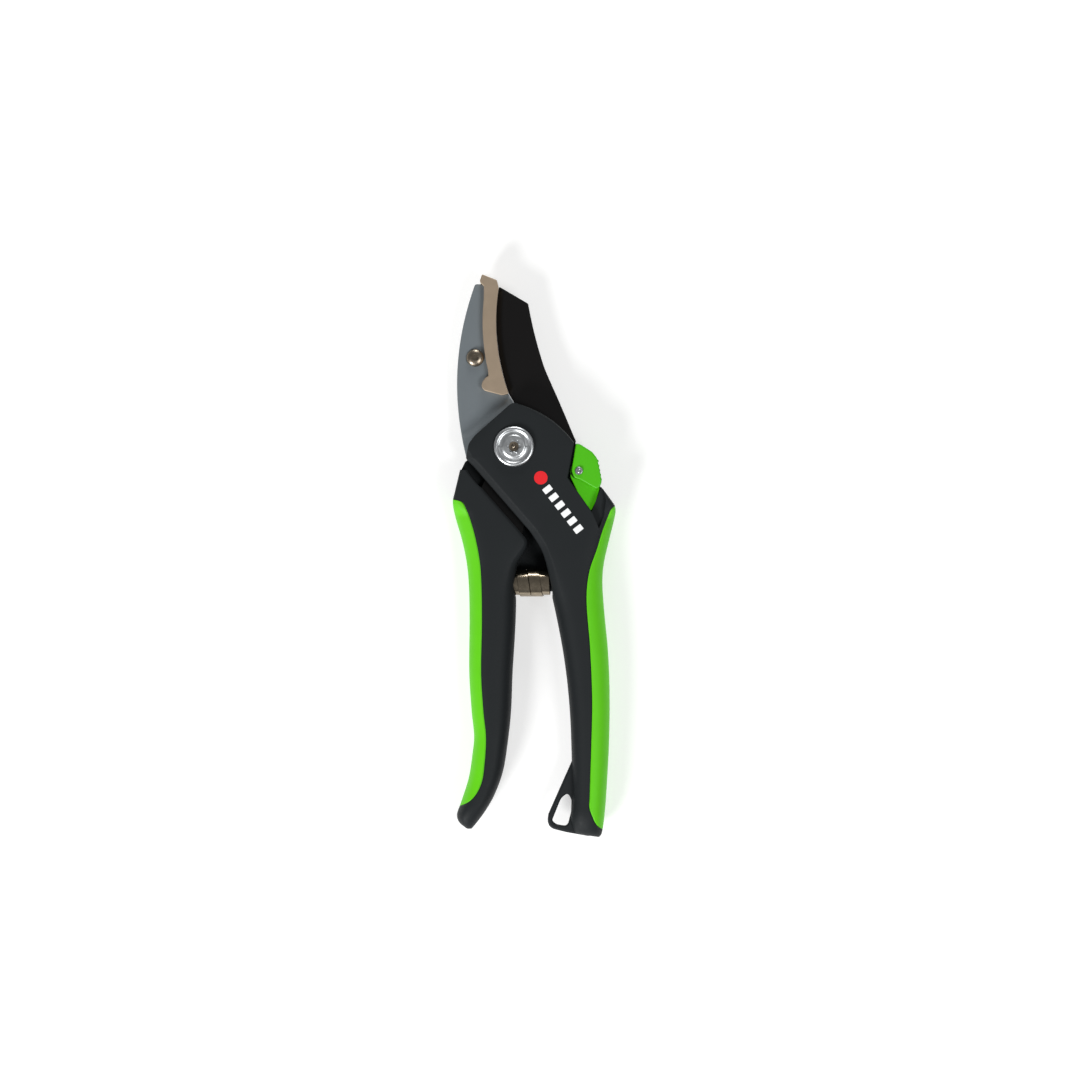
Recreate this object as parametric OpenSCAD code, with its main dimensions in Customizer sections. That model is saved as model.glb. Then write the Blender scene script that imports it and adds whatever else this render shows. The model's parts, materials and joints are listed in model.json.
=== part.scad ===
// Anvil pruning shears, lying flat with the jaws pointing along +Y and the handles along -Y.
// The origin is the pivot axis where it meets the plane that the shears rest on. +Z is up.
// The handle that carries the jaw plate and anvil is the fixed side; the other carries the blade.

/* [Cutting head] */
// Length of the cutting edge that lands on the anvil
cut_len = 39; // [33:0.5:46]
// How far the cutting edge bows towards the anvil
edge_bow = 2.4; // [1.9:0.1:2.8]
// Thickness of the blade
blade_t = 2.6; // [2.2:0.1:3.2]
// Thickness of the jaw plate
jaw_t = 2.6; // [2.2:0.1:3.2]
// Width of the anvil's face, across the blade
anvil_w = 7.6; // [6.4:0.1:9.1]
// Thickness of the anvil behind its face
anvil_t = 5.1; // [4.3:0.1:6.1]
// Diameter of the anvil screw's thread
anvil_screw_d = 3.8; // [3.2:0.1:4.5]

/* [Handles] */
// Length of each handle below its shoulder
grip_len = 98; // [82:1:117]
// Thickness of each of the two cheeks of the fork
cheek_t = 4.6; // [3.9:0.1:5.5]
// Thickness of the moulded plate behind the blade
head_t = 2.4; // [2:0.1:2.9]
// Thickness of the soft grip over the handle's spine
grip_skin = 2.4; // [2:0.1:2.9]
// Thickness of the hanging loop
loop_t = 5; // [4.2:0.1:6]
// Thread diameter of the screws that hold the two steel tangs
tang_screw_d = 4; // [3.4:0.1:4.8]

/* [Pivot] */
// Diameter of the pivot bolt's shank
bolt_d = 7; // [5.9:0.1:8.4]
// Diameter of the pivot bolt's flanged head
bolt_head_d = 15; // [12.6:0.1:18]
// Wall of the bush round the bolt
bush_wall = 1.1; // [0.9:0.05:1.3]
// Width across the flats of the pivot nut
nut_af = 11; // [10:0.1:13]
// Thickness of the pivot nut
nut_t = 2; // [1.7:0.1:2.4]
// Thickness of the disc spring under the pivot nut
disc_t = 0.5; // [0.4:0.05:0.6]

/* [Lock] */
// Diameter of the lock lever's pin
lock_pin_d = 2.2; // [1.9:0.1:2.6]
// Thickness of the lock lever's tail
lock_tail_t = 2.2; // [1.9:0.1:2.3]

/* [Return spring] */
// Outside diameter at the middle of the spring
spring_d = 10.8; // [9:0.1:12.9]
// Outside diameter at each end of the spring
spring_end_d = 8.6; // [7.2:0.1:9.2]
// Width of the spring strip
strip_w = 4.2; // [3.5:0.1:5]
// Thickness of the spring strip
strip_t = 0.4; // [0.34:0.02:0.48]

/* [Fits] */
// Radial running clearance of the bush and the lock lever
run_fit = 0.05; // [0.04:0.01:0.06]
// Clearance round a screw, nut or peg that is seated
seat_fit = 0.1; // [0.08:0.01:0.12]
// Space between the blade's plate pack and the parts beside it
face_gap = 0.4; // [0.35:0.01:0.48]
// Space left between the closed blade and the anvil
edge_gap = 0.15; // [0.12:0.01:0.18]

/* [Hidden] */

// Heights of the plate pack, from the resting plane up
z_cheek = cheek_t;
z_head = z_cheek + face_gap;
z_blade = z_head + head_t;
z_jaw = z_blade + blade_t + face_gap;
z_front = z_jaw + jaw_t;
z_top = z_front + cheek_t;
z_mid = z_top / 2;

black = "#2b2e30";
green = "#5cc81f";
steel = "#c9cccf";
dark_steel = "#1d1a1a";
jaw_grey = "#70787d";
bronze = "#96876f";
round_fn = 64;
far = 60;

// Cutting edge: a shallow bow from its root by the pivot to its tip
edge_root = [-1.9, 19.8];
edge_dir = 95.7;
edge_tip = edge_root + cut_len * polar(edge_dir);
to_anvil = polar(edge_dir + 90);
blade_back = edge_tip + [10.9, -5.6];
blade_heel = [23.1, 2.2];
heel_r = norm(blade_heel);
hub_r = 12.4;

// The jaw plate steps down from the fork to the plane of the blade
joggle_dir = 133.5;
joggle_in = 12.8;
joggle_out = 15.8;
jaw_grip = 3.2;
anvil_screw_at = edge_root + 14.6 * polar(edge_dir) + 11.2 * to_anvil;
anvil_head_r = 3.3;
anvil_head_t = 1.8;
anvil_foot_t = 2.4;
anvil_nut_t = 2;
z_anvil = z_blade + blade_t / 2 - anvil_w / 2;

// Pivot
bolt_r = bolt_d / 2;
bush_r = bolt_r + seat_fit + bush_wall;
washer_r = 9;
washer_t = face_gap - 0.1;
flange_t = 1.5;
nut_recess = 0.5;

// Handles: distances down the handle are measured from the pivot
shoulder = 45;
head_clear_r = 19.5;
body_h = z_top - 0.4;
end_round = 9;
jaw_screw_at = [[14.6, -30], [18, -40.5]];
blade_screw_at = [[-8.5, -25.5], [-5.5, -37]];
screw_head_r = tang_screw_d / 2 + 1.6;
screw_head_t = 1.6;
screw_recess = 0.6;

// Lock
lock_at = [24.1, -9];
lock_collar_r = 1.8;
lock_hub_r = 3.2;
lock_rise = 3.4;
z_lock = z_jaw;
z_lock_top = z_front + lock_rise;

// Spring: its axis runs across the handles
spring_at = 50.7;
spring_from = -1;
spring_to = 14.4;
spring_turns = 4;
pocket_r = spring_end_d / 2 + 1.1;
peg_r = spring_end_d / 2 - strip_t - 0.7;
peg_len = 2.6;

function polar(a) = [cos(a), sin(a)];
function left_of(v) = [-v[1], v[0]] / norm(v);
// A shallow bow from a to b, bulging to the left by rise
function bow_at(a, b, rise, f) = a + f * (b - a) + 4 * rise * f * (1 - f) * left_of(b - a);
function bowed(a, b, rise, n = 12) = [for (i = [0:n]) bow_at(a, b, rise, i / n)];

// Distance down the handle at a fraction f of its length below the shoulder
function down(f) = shoulder + grip_len * f;

// Smooth curve through knots of [distance down the handle, x]
function knot_of(k, d, i = 0) = i >= len(k) - 2 || d <= k[i + 1][0] ? i : knot_of(k, d, i + 1);
function slope(k, i) =
    let (a = max(i - 1, 0), b = min(i + 1, len(k) - 1))
    (k[b][1] - k[a][1]) / (k[b][0] - k[a][0]);
function curve(k, d) =
    let (i = knot_of(k, d), span = k[i + 1][0] - k[i][0], t = (d - k[i][0]) / span)
    (2 * t ^ 3 - 3 * t ^ 2 + 1) * k[i][1] + (t ^ 3 - 2 * t ^ 2 + t) * slope(k, i) * span
    + (3 * t ^ 2 - 2 * t ^ 3) * k[i + 1][1] + (t ^ 3 - t ^ 2) * slope(k, i + 1) * span;

jaw_side_inner = [[14.5, -8.7], [31.7, 6.2], [37.7, 9.9], [43.6, 12.3], [down(.08), 14.3],
    [down(.2), 16.8], [down(.32), 19], [down(.44), 20.5], [down(.56), 21.4], [down(.68), 22],
    [down(.78), 21.8], [down(.88), 21.7], [down(.96), 21], [down(1.02), 22.5]];
jaw_side_outer = [[14.5, 32.5], [22, 37.9], [25.7, 37.7], [34.7, 35.2], [43.6, 33.2],
    [down(.06), 32.6], [down(.18), 33.4], [down(.32), 34.7], [down(.48), 35.3], [down(.66), 35.1],
    [down(.8), 34.4], [down(.92), 33.5], [down(1), 32.4], [down(1.02), 31]];
jaw_side_split = [[21.6, 38.4], [23, 36.4], [25.7, 35.1], [31.7, 32.8], [37.7, 31], [46.6, 28],
    [down(.12), 27], [down(.3), 28.3], [down(.5), 29.1], [down(.66), 28.8], [down(.8), 28.3],
    [down(.9), 28], [down(.94), 29.3], [down(.97), 31.2], [down(.985), 34]];
blade_side_inner = [[8.5, -17.6], [13.8, -13.3], [32.6, 3.1], [35, 4.6], [37.7, 4], [40.7, 2.2],
    [43.6, 0.7], [down(.05), -0.3], [down(.14), 0], [down(.25), -0.5], [down(.4), -1.4],
    [down(.55), -2.1], [down(.68), -3.6], [down(.78), -5.3], [down(.87), -8.3],
    [down(.93), -11.3], [down(.97), -13.8], [down(.995), -15.9]];
blade_side_outer = [[8.5, -20], [16.8, -22], [20.6, -22.8], [25.7, -22], [34.7, -19.4],
    [43.6, -17.6], [down(.08), -16.8], [down(.2), -16.6], [down(.4), -16.7], [down(.55), -15.8],
    [down(.64), -14.9], [down(.7), -15.4], [down(.8), -16.9], [down(.9), -20],
    [down(.94), -21.3], [down(.97), -20.4], [down(.995), -17.4]];
blade_side_split = [[19.4, -23.4], [20.4, -19.6], [22.8, -17.9], [28.7, -15.7], [37.7, -13.5],
    [46.6, -12.3], [down(.2), -11.9], [down(.4), -12.2], [down(.55), -11.3], [down(.64), -10.4],
    [down(.74), -10.9], [down(.82), -12.2], [down(.88), -15.9], [down(.915), -22]];

// Stations down a handle, closer together towards its rounded end
function stations(first, last) = concat([for (i = [0:8]) first + (shoulder - first) * i / 9],
    [for (i = [0:16]) shoulder + (last - shoulder) * sin(90 * i / 16)]);
function squareness(d) = 2.6 + 5 / (1 + exp((d - 40) / 4));
function end_height(d, last) =
    let (t = max(0, (d - last + end_round) / end_round)) body_h * (0.34 + 0.66 * sqrt(1 - t ^ 2));
function rounded(v, e) = sign(v) * pow(abs(v), 2 / e);

// Outlines
blade_outline = concat(bowed(edge_root, edge_tip, edge_bow, 16),
    bowed(blade_back, blade_heel, -2.1),
    [[22.9, 0.5], [20.8, -3.2], [13, -9.4], [9.2, -12.6], [5.2, -24], [1.2, -40.5],
     [-1.4, -42], [-7, -41.4], [-9.6, -39.4], [-13.4, -21], [-12.2, -15], [-9.5, -9],
     [-6, 10.5], [0.1, 16.4]]);
head_outline = [[12.4, -3], [6.4, -28], [2, -33.5], [-12, -30], [-17.2, -12.4], [-15, -9.6],
                [-12.3, -2]];
jaw_outline = concat(bowed([-17.7, -4.1], edge_tip + [-8.7, 2.2], 5.05, 16),
    [edge_tip + [-4.2, 2]],
    [for (i = [12:-1:1]) bow_at(edge_root, edge_tip, edge_bow, i / 12) + jaw_grip * to_anvil],
    [[-5.2, 20.6], [-2.2, 19.4], [-0.5, 16.7], [6, 11.6], [11.2, 5.4], [12.4, -2], [17.5, -16],
     [22, -32], [22, -46], [15.4, -46], [12, -40], [8, -33], [-13.2, -8.2]]);
anvil_outline = concat(
    [for (i = [0:16]) bow_at(edge_root, edge_tip, edge_bow, i / 16) + edge_gap * to_anvil],
    [edge_tip + [0, 1.2], edge_tip + [-0.6, 3.5], edge_tip + [-6.1, 5.7], edge_tip + [-7, 3.1],
     edge_tip + [-6.3, 2]],
    [for (i = [11:-1:3]) bow_at(edge_root, edge_tip, edge_bow, i / 12)
        + (anvil_t + (i == 11 ? 0.3 : 0)) * to_anvil],
    [edge_root + [-8.2, 7], edge_root + [-9.5, 5], edge_root + [-9.4, 3.2],
     edge_root + [-8.4, 2.1], edge_root + [-2.4, -0.3]]);
front_cheek = concat([[-17.9, -4.4], [-16.8, 1.1], [-14.5, 4.1]], [[-1.1, 16]],
    bowed([0.4, 16.2], [22.4, 1.5], 3, 8),
    [[20, -11.6], [28.9, -24.2], [31.4, -29.5], [27.5, -46], [13.6, -46], [12.4, -43.6],
     [9.8, -37.7], [6.1, -31.7], [-14.6, -7.9]]);
back_cheek = concat([[-17.9, -4.4], [-16.8, 1.1], [-14.5, 4.1]], [[-1.1, 16]],
    bowed([0.4, 16.2], [21.4, 2.2], 3, 8),
    [[24, 1], [28.4, -3], [30.6, -8.5], [31.8, -14.6], [28, -46], [13.6, -46], [12.4, -43.6],
     [9.8, -37.7], [6.1, -31.7], [-14.6, -7.9]]);
slot_outline = [[8.5, -36.5], [13.5, -19], [20.8, -13.2], [far, -13.2], [far, far], [-far, far],
                [-far, -far], [-2, -far], [3, -36.5]];
lever_room = [[16.5, 8], [16.5, -10], [20.6, -27], [29.2, -25.6], [33, -14.2], [far, -14.2],
              [far, 8]];
lever_window = [[22.4, 8], [22.4, 1.5], [20, -11.6], [28.9, -24.2], [32.9, -13.9], [far, -8],
                [far, 8]];
lever_tail = [[22.8, -1], [21, -11], [24, -17.4], [28.7, -23.8], [30.4, -20.4], [31.9, -15.4],
              [28, -8]];
lever_thumb = [[23, 1.2], [24.5, 1], [29, -1.9], [30.9, -4.2], [31.9, -8.6], [32.7, -12.9],
               [32, -14.9], [30.9, -15.9], [24.4, -12.2], [22.4, -11.7], [21.4, -9]];

module plate(outline, z, t) {
    translate([0, 0, z]) linear_extrude(height = t) polygon(outline);
}

module post(at, r, z, t) {
    translate([at[0], at[1], z]) cylinder(r = r, h = t, $fn = round_fn);
}

module hexagon(at, af, z, t) {
    translate([at[0], at[1], z]) cylinder(d = af / cos(30), h = t, $fn = 6);
}

// Handle body: rounded sections between its inner and outer edges, drawn in by inset
module handle_body(inner, outer, first, last, inset = 0) {
    n = 20;
    ds = stations(first + inset, last - inset);
    rings = [for (d = ds)
        let (a = curve(inner, d), b = curve(outer, d), s = sign(b - a),
             half = max(abs(b - a) / 2 - inset, 0.5), e = squareness(d),
             tall = end_height(d, last) / 2 - inset)
        [for (k = [0:n - 1]) let (t = 360 * k / n)
            [(a + b) / 2 + half * rounded(cos(t), e), -d, z_mid + tall * rounded(sin(t), e)]]];
    last_ring = len(ds) - 1;
    faces = concat(
        [[for (k = [0:n - 1]) k]],
        [[for (k = [n - 1:-1:0]) last_ring * n + k]],
        [for (i = [0:last_ring - 1], k = [0:n - 1])
            [i * n + k, (i + 1) * n + k, (i + 1) * n + (k + 1) % n, i * n + (k + 1) % n]]);
    polyhedron(points = [for (r = rings) each r], faces = faces, convexity = 6);
}

// The zone of a handle that the soft grip covers, out to side +1 or -1
module grip_zone(split, side) {
    first = split[0][0];
    last = split[len(split) - 1][0];
    line = [for (i = [0:24]) let (d = first + (last - first) * i / 24) [curve(split, d), -d]];
    plate(concat([[side * far, -first]], line, [[side * far, -last]]), -1, z_top + 2);
}

module jaw_side_body(inset = 0) {
    handle_body(jaw_side_inner, jaw_side_outer, 14.5, down(1.02), inset);
}

module blade_side_body(inset = 0) {
    handle_body(blade_side_inner, blade_side_outer, 8.5, down(.995), inset);
}

module hanging_loop() {
    y = -down(1);
    plate([[23.5, y + 31], [21.4, y + 27], [12.8, y + 6], [12.5, y + 3.5], [13.2, y + 1.6],
           [14.6, y + 0.6], [19.4, y - 0.6], [30.6, y - 2.6], [32.2, y - 1.6], [29, y + 3]],
          z_mid - loop_t / 2, loop_t);
}

module loop_eye() {
    y = -down(1);
    plate([[20, y + 14], [21.5, y + 11.6], [21.3, y + 6.8], [20.2, y + 2.4], [19.2, y + 1.6],
           [16, y + 2.1], [14.4, y + 3.6], [17.9, y + 12.4]], -1, z_top + 2);
}

// Round pocket for one end of the spring, opening towards the other handle
module spring_pocket(from, to) {
    translate([from, -spring_at, z_mid]) rotate([0, 90, 0])
        cylinder(r = pocket_r, h = to - from, $fn = round_fn);
}

module spring_peg(from, to) {
    translate([from, -spring_at, z_mid]) rotate([0, 90, 0])
        cylinder(r = peg_r, h = to - from, $fn = round_fn);
}

module screw_hole(at, top) {
    post(at, tang_screw_d / 2 + seat_fit, -1, top + 1);
    post(at, screw_head_r + seat_fit, -1, screw_recess + screw_head_t + 1);
}

// Countersunk screw driven from the back, with a hexagon socket
module tang_screw(at, top) {
    difference() {
        union() {
            post(at, tang_screw_d / 2, screw_recess, top - screw_recess);
            post(at, screw_head_r, screw_recess, screw_head_t);
        }
        hexagon(at, tang_screw_d * 0.62, screw_recess - 1, screw_head_t + 0.6);
    }
}

module anvil_handle() {
    color(black) {
        difference() {
            union() {
                jaw_side_body();
                plate(front_cheek, z_front, cheek_t);
                plate(back_cheek, 0, cheek_t);
                hanging_loop();
            }
            plate(slot_outline, z_cheek, z_front - z_cheek);
            plate(jaw_outline, z_jaw, jaw_t);
            plate(lever_room, z_jaw - face_gap, z_front - z_jaw + face_gap);
            plate(lever_window, z_jaw - face_gap, z_top);
            difference() {
                grip_zone(jaw_side_split, 1);
                jaw_side_body(grip_skin);
            }
            post([0, 0], bolt_r + seat_fit, -1, z_top + 2);
            hexagon([0, 0], nut_af + 2 * seat_fit, -1, nut_recess + nut_t + disc_t + 1);
            for (at = jaw_screw_at) screw_hole(at, z_jaw);
            post(lock_at, lock_pin_d / 2, -1, cheek_t + 2);
            loop_eye();
            spring_pocket(spring_from + 6, spring_to);
        }
        spring_peg(spring_to - peg_len, spring_to + 0.5);
    }
}

module anvil_handle_grip() {
    color(green) difference() {
        intersection() {
            jaw_side_body();
            grip_zone(jaw_side_split, 1);
        }
        jaw_side_body(grip_skin);
    }
}

// Section of the jaw plate: flat in the fork, then stepped down to the plane of the blade
module jaw_sheet() {
    rotate([0, 0, joggle_dir]) rotate([90, 0, 0])
        translate([0, 0, -80]) linear_extrude(height = 160)
            polygon([[-far, z_jaw], [joggle_in, z_jaw], [joggle_out, z_blade], [90, z_blade],
                     [90, z_blade + jaw_t], [joggle_out, z_blade + jaw_t], [joggle_in, z_front],
                     [-far, z_front]]);
}

module jaw_plate() {
    color(jaw_grey) difference() {
        intersection() {
            plate(jaw_outline, -1, z_top);
            jaw_sheet();
        }
        post([0, 0], bush_r + run_fit, -1, z_top);
        post(anvil_screw_at, anvil_screw_d / 2 + seat_fit, -1, z_top);
        for (at = jaw_screw_at) post(at, tang_screw_d / 2, -1, z_top);
    }
}

module anvil_strip() {
    foot = anvil_screw_at;
    color(bronze) difference() {
        union() {
            plate(anvil_outline, z_anvil, anvil_w);
            post(foot, anvil_head_r, z_blade - anvil_foot_t, anvil_foot_t);
            plate([foot + [0, 3.2], foot + [5, 5], foot + [6, -6], foot + [0, -3.2]],
                  z_blade - anvil_foot_t, anvil_foot_t);
        }
        plate(jaw_outline, z_blade, jaw_t);
        post(foot, anvil_screw_d / 2 + seat_fit, -1, z_top);
    }
}

module anvil_screw() {
    color(steel) difference() {
        union() {
            post(anvil_screw_at, anvil_screw_d / 2, 1.2, z_blade + jaw_t - 1);
            intersection() {
                post(anvil_screw_at, anvil_head_r, z_blade + jaw_t, anvil_head_t);
                translate([anvil_screw_at[0], anvil_screw_at[1], z_blade + jaw_t - 2.4])
                    sphere(r = 4.2, $fn = round_fn);
            }
        }
        hexagon(anvil_screw_at, 2.6, z_blade + jaw_t + 0.5, anvil_head_t);
    }
}

module anvil_nut() {
    base = z_blade - anvil_foot_t - anvil_nut_t;
    color(steel) difference() {
        hexagon(anvil_screw_at, 6.6, base, anvil_nut_t);
        post(anvil_screw_at, anvil_screw_d / 2, base - 1, anvil_nut_t + 2);
    }
}

module jaw_screws() {
    color(steel) for (at = jaw_screw_at) tang_screw(at, z_front - 0.3);
}

module pivot_bolt() {
    head_r = bolt_head_d / 2;
    rim = 1.3;
    dish = 0.5;
    color(steel) difference() {
        union() {
            post([0, 0], bolt_r, nut_recess + 0.2, z_top - nut_recess);
            translate([0, 0, z_top]) rotate_extrude($fn = round_fn)
                polygon([[0, 0], [head_r, 0], [head_r, 0.5], [head_r - 0.5, flange_t],
                         [head_r - rim, flange_t], [head_r - rim - 0.5, flange_t - dish],
                         [bolt_r + 0.6, flange_t - dish], [bolt_r + 0.1, flange_t],
                         [0, flange_t]]);
        }
        hexagon([0, 0], bolt_d * 0.64, z_top + flange_t - 1.3, 2);
        for (side = [-1, 1]) translate([side * (head_r - 2.2) - 1.5, -0.4, z_top + flange_t - 0.8])
            cube([3, 0.8, 2]);
    }
}

module pivot_nut() {
    color(steel) difference() {
        hexagon([0, 0], nut_af, nut_recess, nut_t);
        post([0, 0], bolt_r, 0, z_cheek);
    }
}

module disc_spring() {
    color(steel) difference() {
        post([0, 0], nut_af / 2, nut_recess + nut_t, disc_t);
        post([0, 0], bolt_r + seat_fit, 0, z_cheek);
    }
}

module pivot_bush() {
    color(bronze) difference() {
        post([0, 0], bush_r, z_cheek, z_front - z_cheek);
        post([0, 0], bolt_r + seat_fit, 0, z_top);
    }
}

module thrust_washer(z) {
    color(steel) difference() {
        post([0, 0], washer_r, z, washer_t);
        post([0, 0], bush_r + run_fit, z - 1, washer_t + 2);
    }
}

module front_washer() {
    thrust_washer(z_jaw - washer_t);
}

module back_washer() {
    thrust_washer(z_cheek);
}

// Strip wound as two cones that meet at their wide ends. The turns lie inside each other
// towards the ends, and beside each other across the middle.
module volute_spring() {
    per_turn = 24;
    n = spring_turns * per_turn;
    end_gap = 0.2;
    run = spring_to - spring_from - strip_w - 2 * end_gap;
    middle = 0.22;
    steep = spring_turns * (strip_w + 0.15);
    gentle = (run - 2 * middle * steep) / (1 - 2 * middle);
    rings = [for (i = [0:n])
        let (f = i / n - 0.5, a = 360 * i / per_turn, near = min(abs(f), middle),
             r = spring_d / 2 - (spring_d - spring_end_d) * abs(f),
             x = spring_from + end_gap + run / 2
                 + sign(f) * (near * steep + (abs(f) - near) * gentle))
        [for (c = [[0, 0], [strip_w, 0], [strip_w, strip_t], [0, strip_t]])
            [x + c[0], -spring_at + (r - c[1]) * cos(a), z_mid + (r - c[1]) * sin(a)]]];
    faces = concat([[0, 1, 2, 3]], [[4 * n + 3, 4 * n + 2, 4 * n + 1, 4 * n]],
        [for (i = [0:n - 1], k = [0:3])
            [4 * i + k, 4 * i + 4 + k, 4 * i + 4 + (k + 1) % 4, 4 * i + (k + 1) % 4]]);
    color(steel) polyhedron(points = [for (r = rings) each r], faces = faces, convexity = 8);
}

module lock_pin() {
    r = lock_pin_d / 2;
    color(steel) difference() {
        union() {
            post(lock_at, r, 0.8, z_lock_top - 0.8);
            post(lock_at, lock_collar_r, z_cheek, z_lock - face_gap + 0.1 - z_cheek);
            post(lock_at, r + 0.4, z_lock_top + 0.05, 0.6);
            post(lock_at, r, z_lock_top - 0.1, 0.3);
        }
        post(lock_at, 0.5, z_lock_top + 0.3, 1);
    }
}

module lock_washer() {
    color(steel) difference() {
        post(lock_at, lock_collar_r + 0.4, z_lock - face_gap + 0.1, face_gap - 0.2);
        post(lock_at, lock_pin_d / 2 + run_fit, 0, z_top);
    }
}

module lock_lever() {
    color(green) difference() {
        union() {
            plate(lever_tail, z_lock, lock_tail_t);
            plate(lever_thumb, z_lock, z_lock_top - z_lock);
            post(lock_at, lock_hub_r, z_lock, z_lock_top - z_lock);
            // nose that stands in front of the blade's heel
            intersection() {
                plate([[23, 0.9], [24.4, 0.8], [27.4, -1.2], [27.4, -5.4], [23, -5.4]],
                      z_blade, z_lock - z_blade);
                difference() {
                    post([0, 0], heel_r + 4, z_blade, z_lock - z_blade);
                    post([0, 0], heel_r + 0.4, z_blade - 1, z_lock);
                }
            }
            // ribs under the thumb
            for (i = [0:4]) translate([31.2 + i * 0.3, -5.4 - i * 1.7, z_lock + 0.6])
                cylinder(r = 0.7, h = z_lock_top - z_lock - 1.2, $fn = 24);
        }
        post(lock_at, lock_pin_d / 2 + run_fit, 0, z_top + 4);
    }
}

module blade_handle() {
    color(black) {
        difference() {
            union() {
                difference() {
                    blade_side_body();
                    post([0, 0], head_clear_r, -1, z_top + 2);
                    plate(blade_outline, z_blade, blade_t + 0.1);
                    difference() {
                        grip_zone(blade_side_split, -1);
                        blade_side_body(grip_skin);
                    }
                }
                plate(head_outline, z_head, head_t);
                post([0, 0], hub_r, z_head, head_t);
            }
            post([0, 0], bush_r + run_fit, -1, z_top + 2);
            for (at = blade_screw_at) screw_hole(at, z_blade + blade_t + 2);
            spring_pocket(spring_from, spring_to - 6);
        }
        spring_peg(spring_from - 0.5, spring_from + peg_len);
    }
}

module blade_handle_grip() {
    color(green) difference() {
        intersection() {
            blade_side_body();
            grip_zone(blade_side_split, -1);
        }
        blade_side_body(grip_skin);
    }
}

module blade() {
    color(dark_steel) difference() {
        union() {
            plate(blade_outline, z_blade, blade_t);
            post([0, 0], hub_r, z_blade, blade_t);
        }
        post([0, 0], bush_r + run_fit, 0, z_top);
        for (at = blade_screw_at) post(at, tang_screw_d / 2, 0, z_top);
    }
}

module blade_screws() {
    color(steel) for (at = blade_screw_at) tang_screw(at, z_blade + blade_t + 1.8);
}

anvil_handle();
anvil_handle_grip();
jaw_plate();
anvil_strip();
anvil_screw();
anvil_nut();
jaw_screws();
pivot_bolt();
pivot_nut();
disc_spring();
pivot_bush();
front_washer();
back_washer();
volute_spring();
lock_pin();
lock_washer();
lock_lever();
blade_handle();
blade_handle_grip();
blade();
blade_screws();
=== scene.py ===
"""Anvil pruning shears: the finished look of every piece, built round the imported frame."""

import json
from math import atan2, cos, hypot, pi, radians, sin, sqrt

import bmesh
import bpy
import numpy as np
from bpy.props import FloatProperty, FloatVectorProperty, PointerProperty
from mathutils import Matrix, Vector


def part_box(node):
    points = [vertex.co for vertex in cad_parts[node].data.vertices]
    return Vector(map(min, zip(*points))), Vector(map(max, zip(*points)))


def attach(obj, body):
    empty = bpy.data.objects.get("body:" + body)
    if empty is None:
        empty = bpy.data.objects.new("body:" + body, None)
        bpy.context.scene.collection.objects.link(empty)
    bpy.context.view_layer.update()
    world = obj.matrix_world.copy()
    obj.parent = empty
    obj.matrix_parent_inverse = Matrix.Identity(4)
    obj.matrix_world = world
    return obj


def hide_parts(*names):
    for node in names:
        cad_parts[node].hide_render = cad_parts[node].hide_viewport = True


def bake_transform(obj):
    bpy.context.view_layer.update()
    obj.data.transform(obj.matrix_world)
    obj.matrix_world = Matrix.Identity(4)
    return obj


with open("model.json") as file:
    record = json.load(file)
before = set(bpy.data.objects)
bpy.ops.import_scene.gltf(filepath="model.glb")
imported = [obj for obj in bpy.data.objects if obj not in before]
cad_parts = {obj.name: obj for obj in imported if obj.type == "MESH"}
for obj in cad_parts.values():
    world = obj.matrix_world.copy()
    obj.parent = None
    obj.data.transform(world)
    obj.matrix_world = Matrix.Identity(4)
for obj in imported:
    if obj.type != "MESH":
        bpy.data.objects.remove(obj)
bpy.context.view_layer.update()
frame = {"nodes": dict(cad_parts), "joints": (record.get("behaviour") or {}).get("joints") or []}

bl_info = {
    "name": "Pruning Shears",
    "version": (1, 0, 0),
    "blender": (4, 5, 0),
    "location": "3D View > Sidebar > Shears",
    "description": "Builds the handles, cutting head, pivot, lock and spring of a pair of shears",
    "category": "Object",
}

# Lengths below are in millimetres unless a name says otherwise
MM = 0.001
FIXED_SIDE = "anvil_side"
MOVING_SIDE = "blade_side"
LOCK_SIDE = "lock"
SHARP_ANGLE = radians(32)


def level(node, end):
    """Height of a CAD node's underside (end 0) or top (end 1), in millimetres."""
    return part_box(node)[end].z / MM


def joint_axis(name):
    """Where a joint's axis stands in plan, in millimetres."""
    place = next(j["pos_m"] for j in frame["joints"] if j["name"] == name)
    return np.array(place[:2]) / MM


Z_CHEEK = level("pivot_bush", 0)
Z_FRONT = level("pivot_bush", 1)
Z_HEAD = level("back_washer", 1) + 0.1
Z_BLADE = level("blade", 0)
Z_BLADE_TOP = level("blade", 1)
Z_TOP = level("anvil_handle", 1)
Z_MID = Z_TOP / 2
LOCK_AT = joint_axis("lock_turn")

# Plan outline of the cutting head
EDGE_ROOT = np.array([-1.9, 19.8])
EDGE_DIRECTION = np.array([cos(radians(95.7)), sin(radians(95.7))])
EDGE_LENGTH = 39
EDGE_BOW = 2.4
EDGE_TIP = EDGE_ROOT + EDGE_LENGTH * EDGE_DIRECTION
TO_ANVIL = np.array([-EDGE_DIRECTION[1], EDGE_DIRECTION[0]])
BLADE_BACK = EDGE_TIP + [11.2, -5.9]
BLADE_HEEL = np.array([23.1, 2.2])
ANVIL_SCREW_AT = EDGE_ROOT + 14.6 * EDGE_DIRECTION + 11.2 * TO_ANVIL
HUB_RADIUS = 12.4

# Radii of round holes and bosses
BUSH_BORE = 4.75
BOLT_BORE = 3.6
SCREW_POCKET = 3.7
SPRING_POCKET = 5.4
SPRING_PEG = 3.2
FORK_SWEEP = 19.5

# Handle outlines: knots of [distance down the handle from the pivot, x]
SHOULDER = 45
GRIP_LENGTH = 98


def down(share):
    """Distance down the handle at a share of its length below the shoulder."""
    return SHOULDER + GRIP_LENGTH * share


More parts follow.
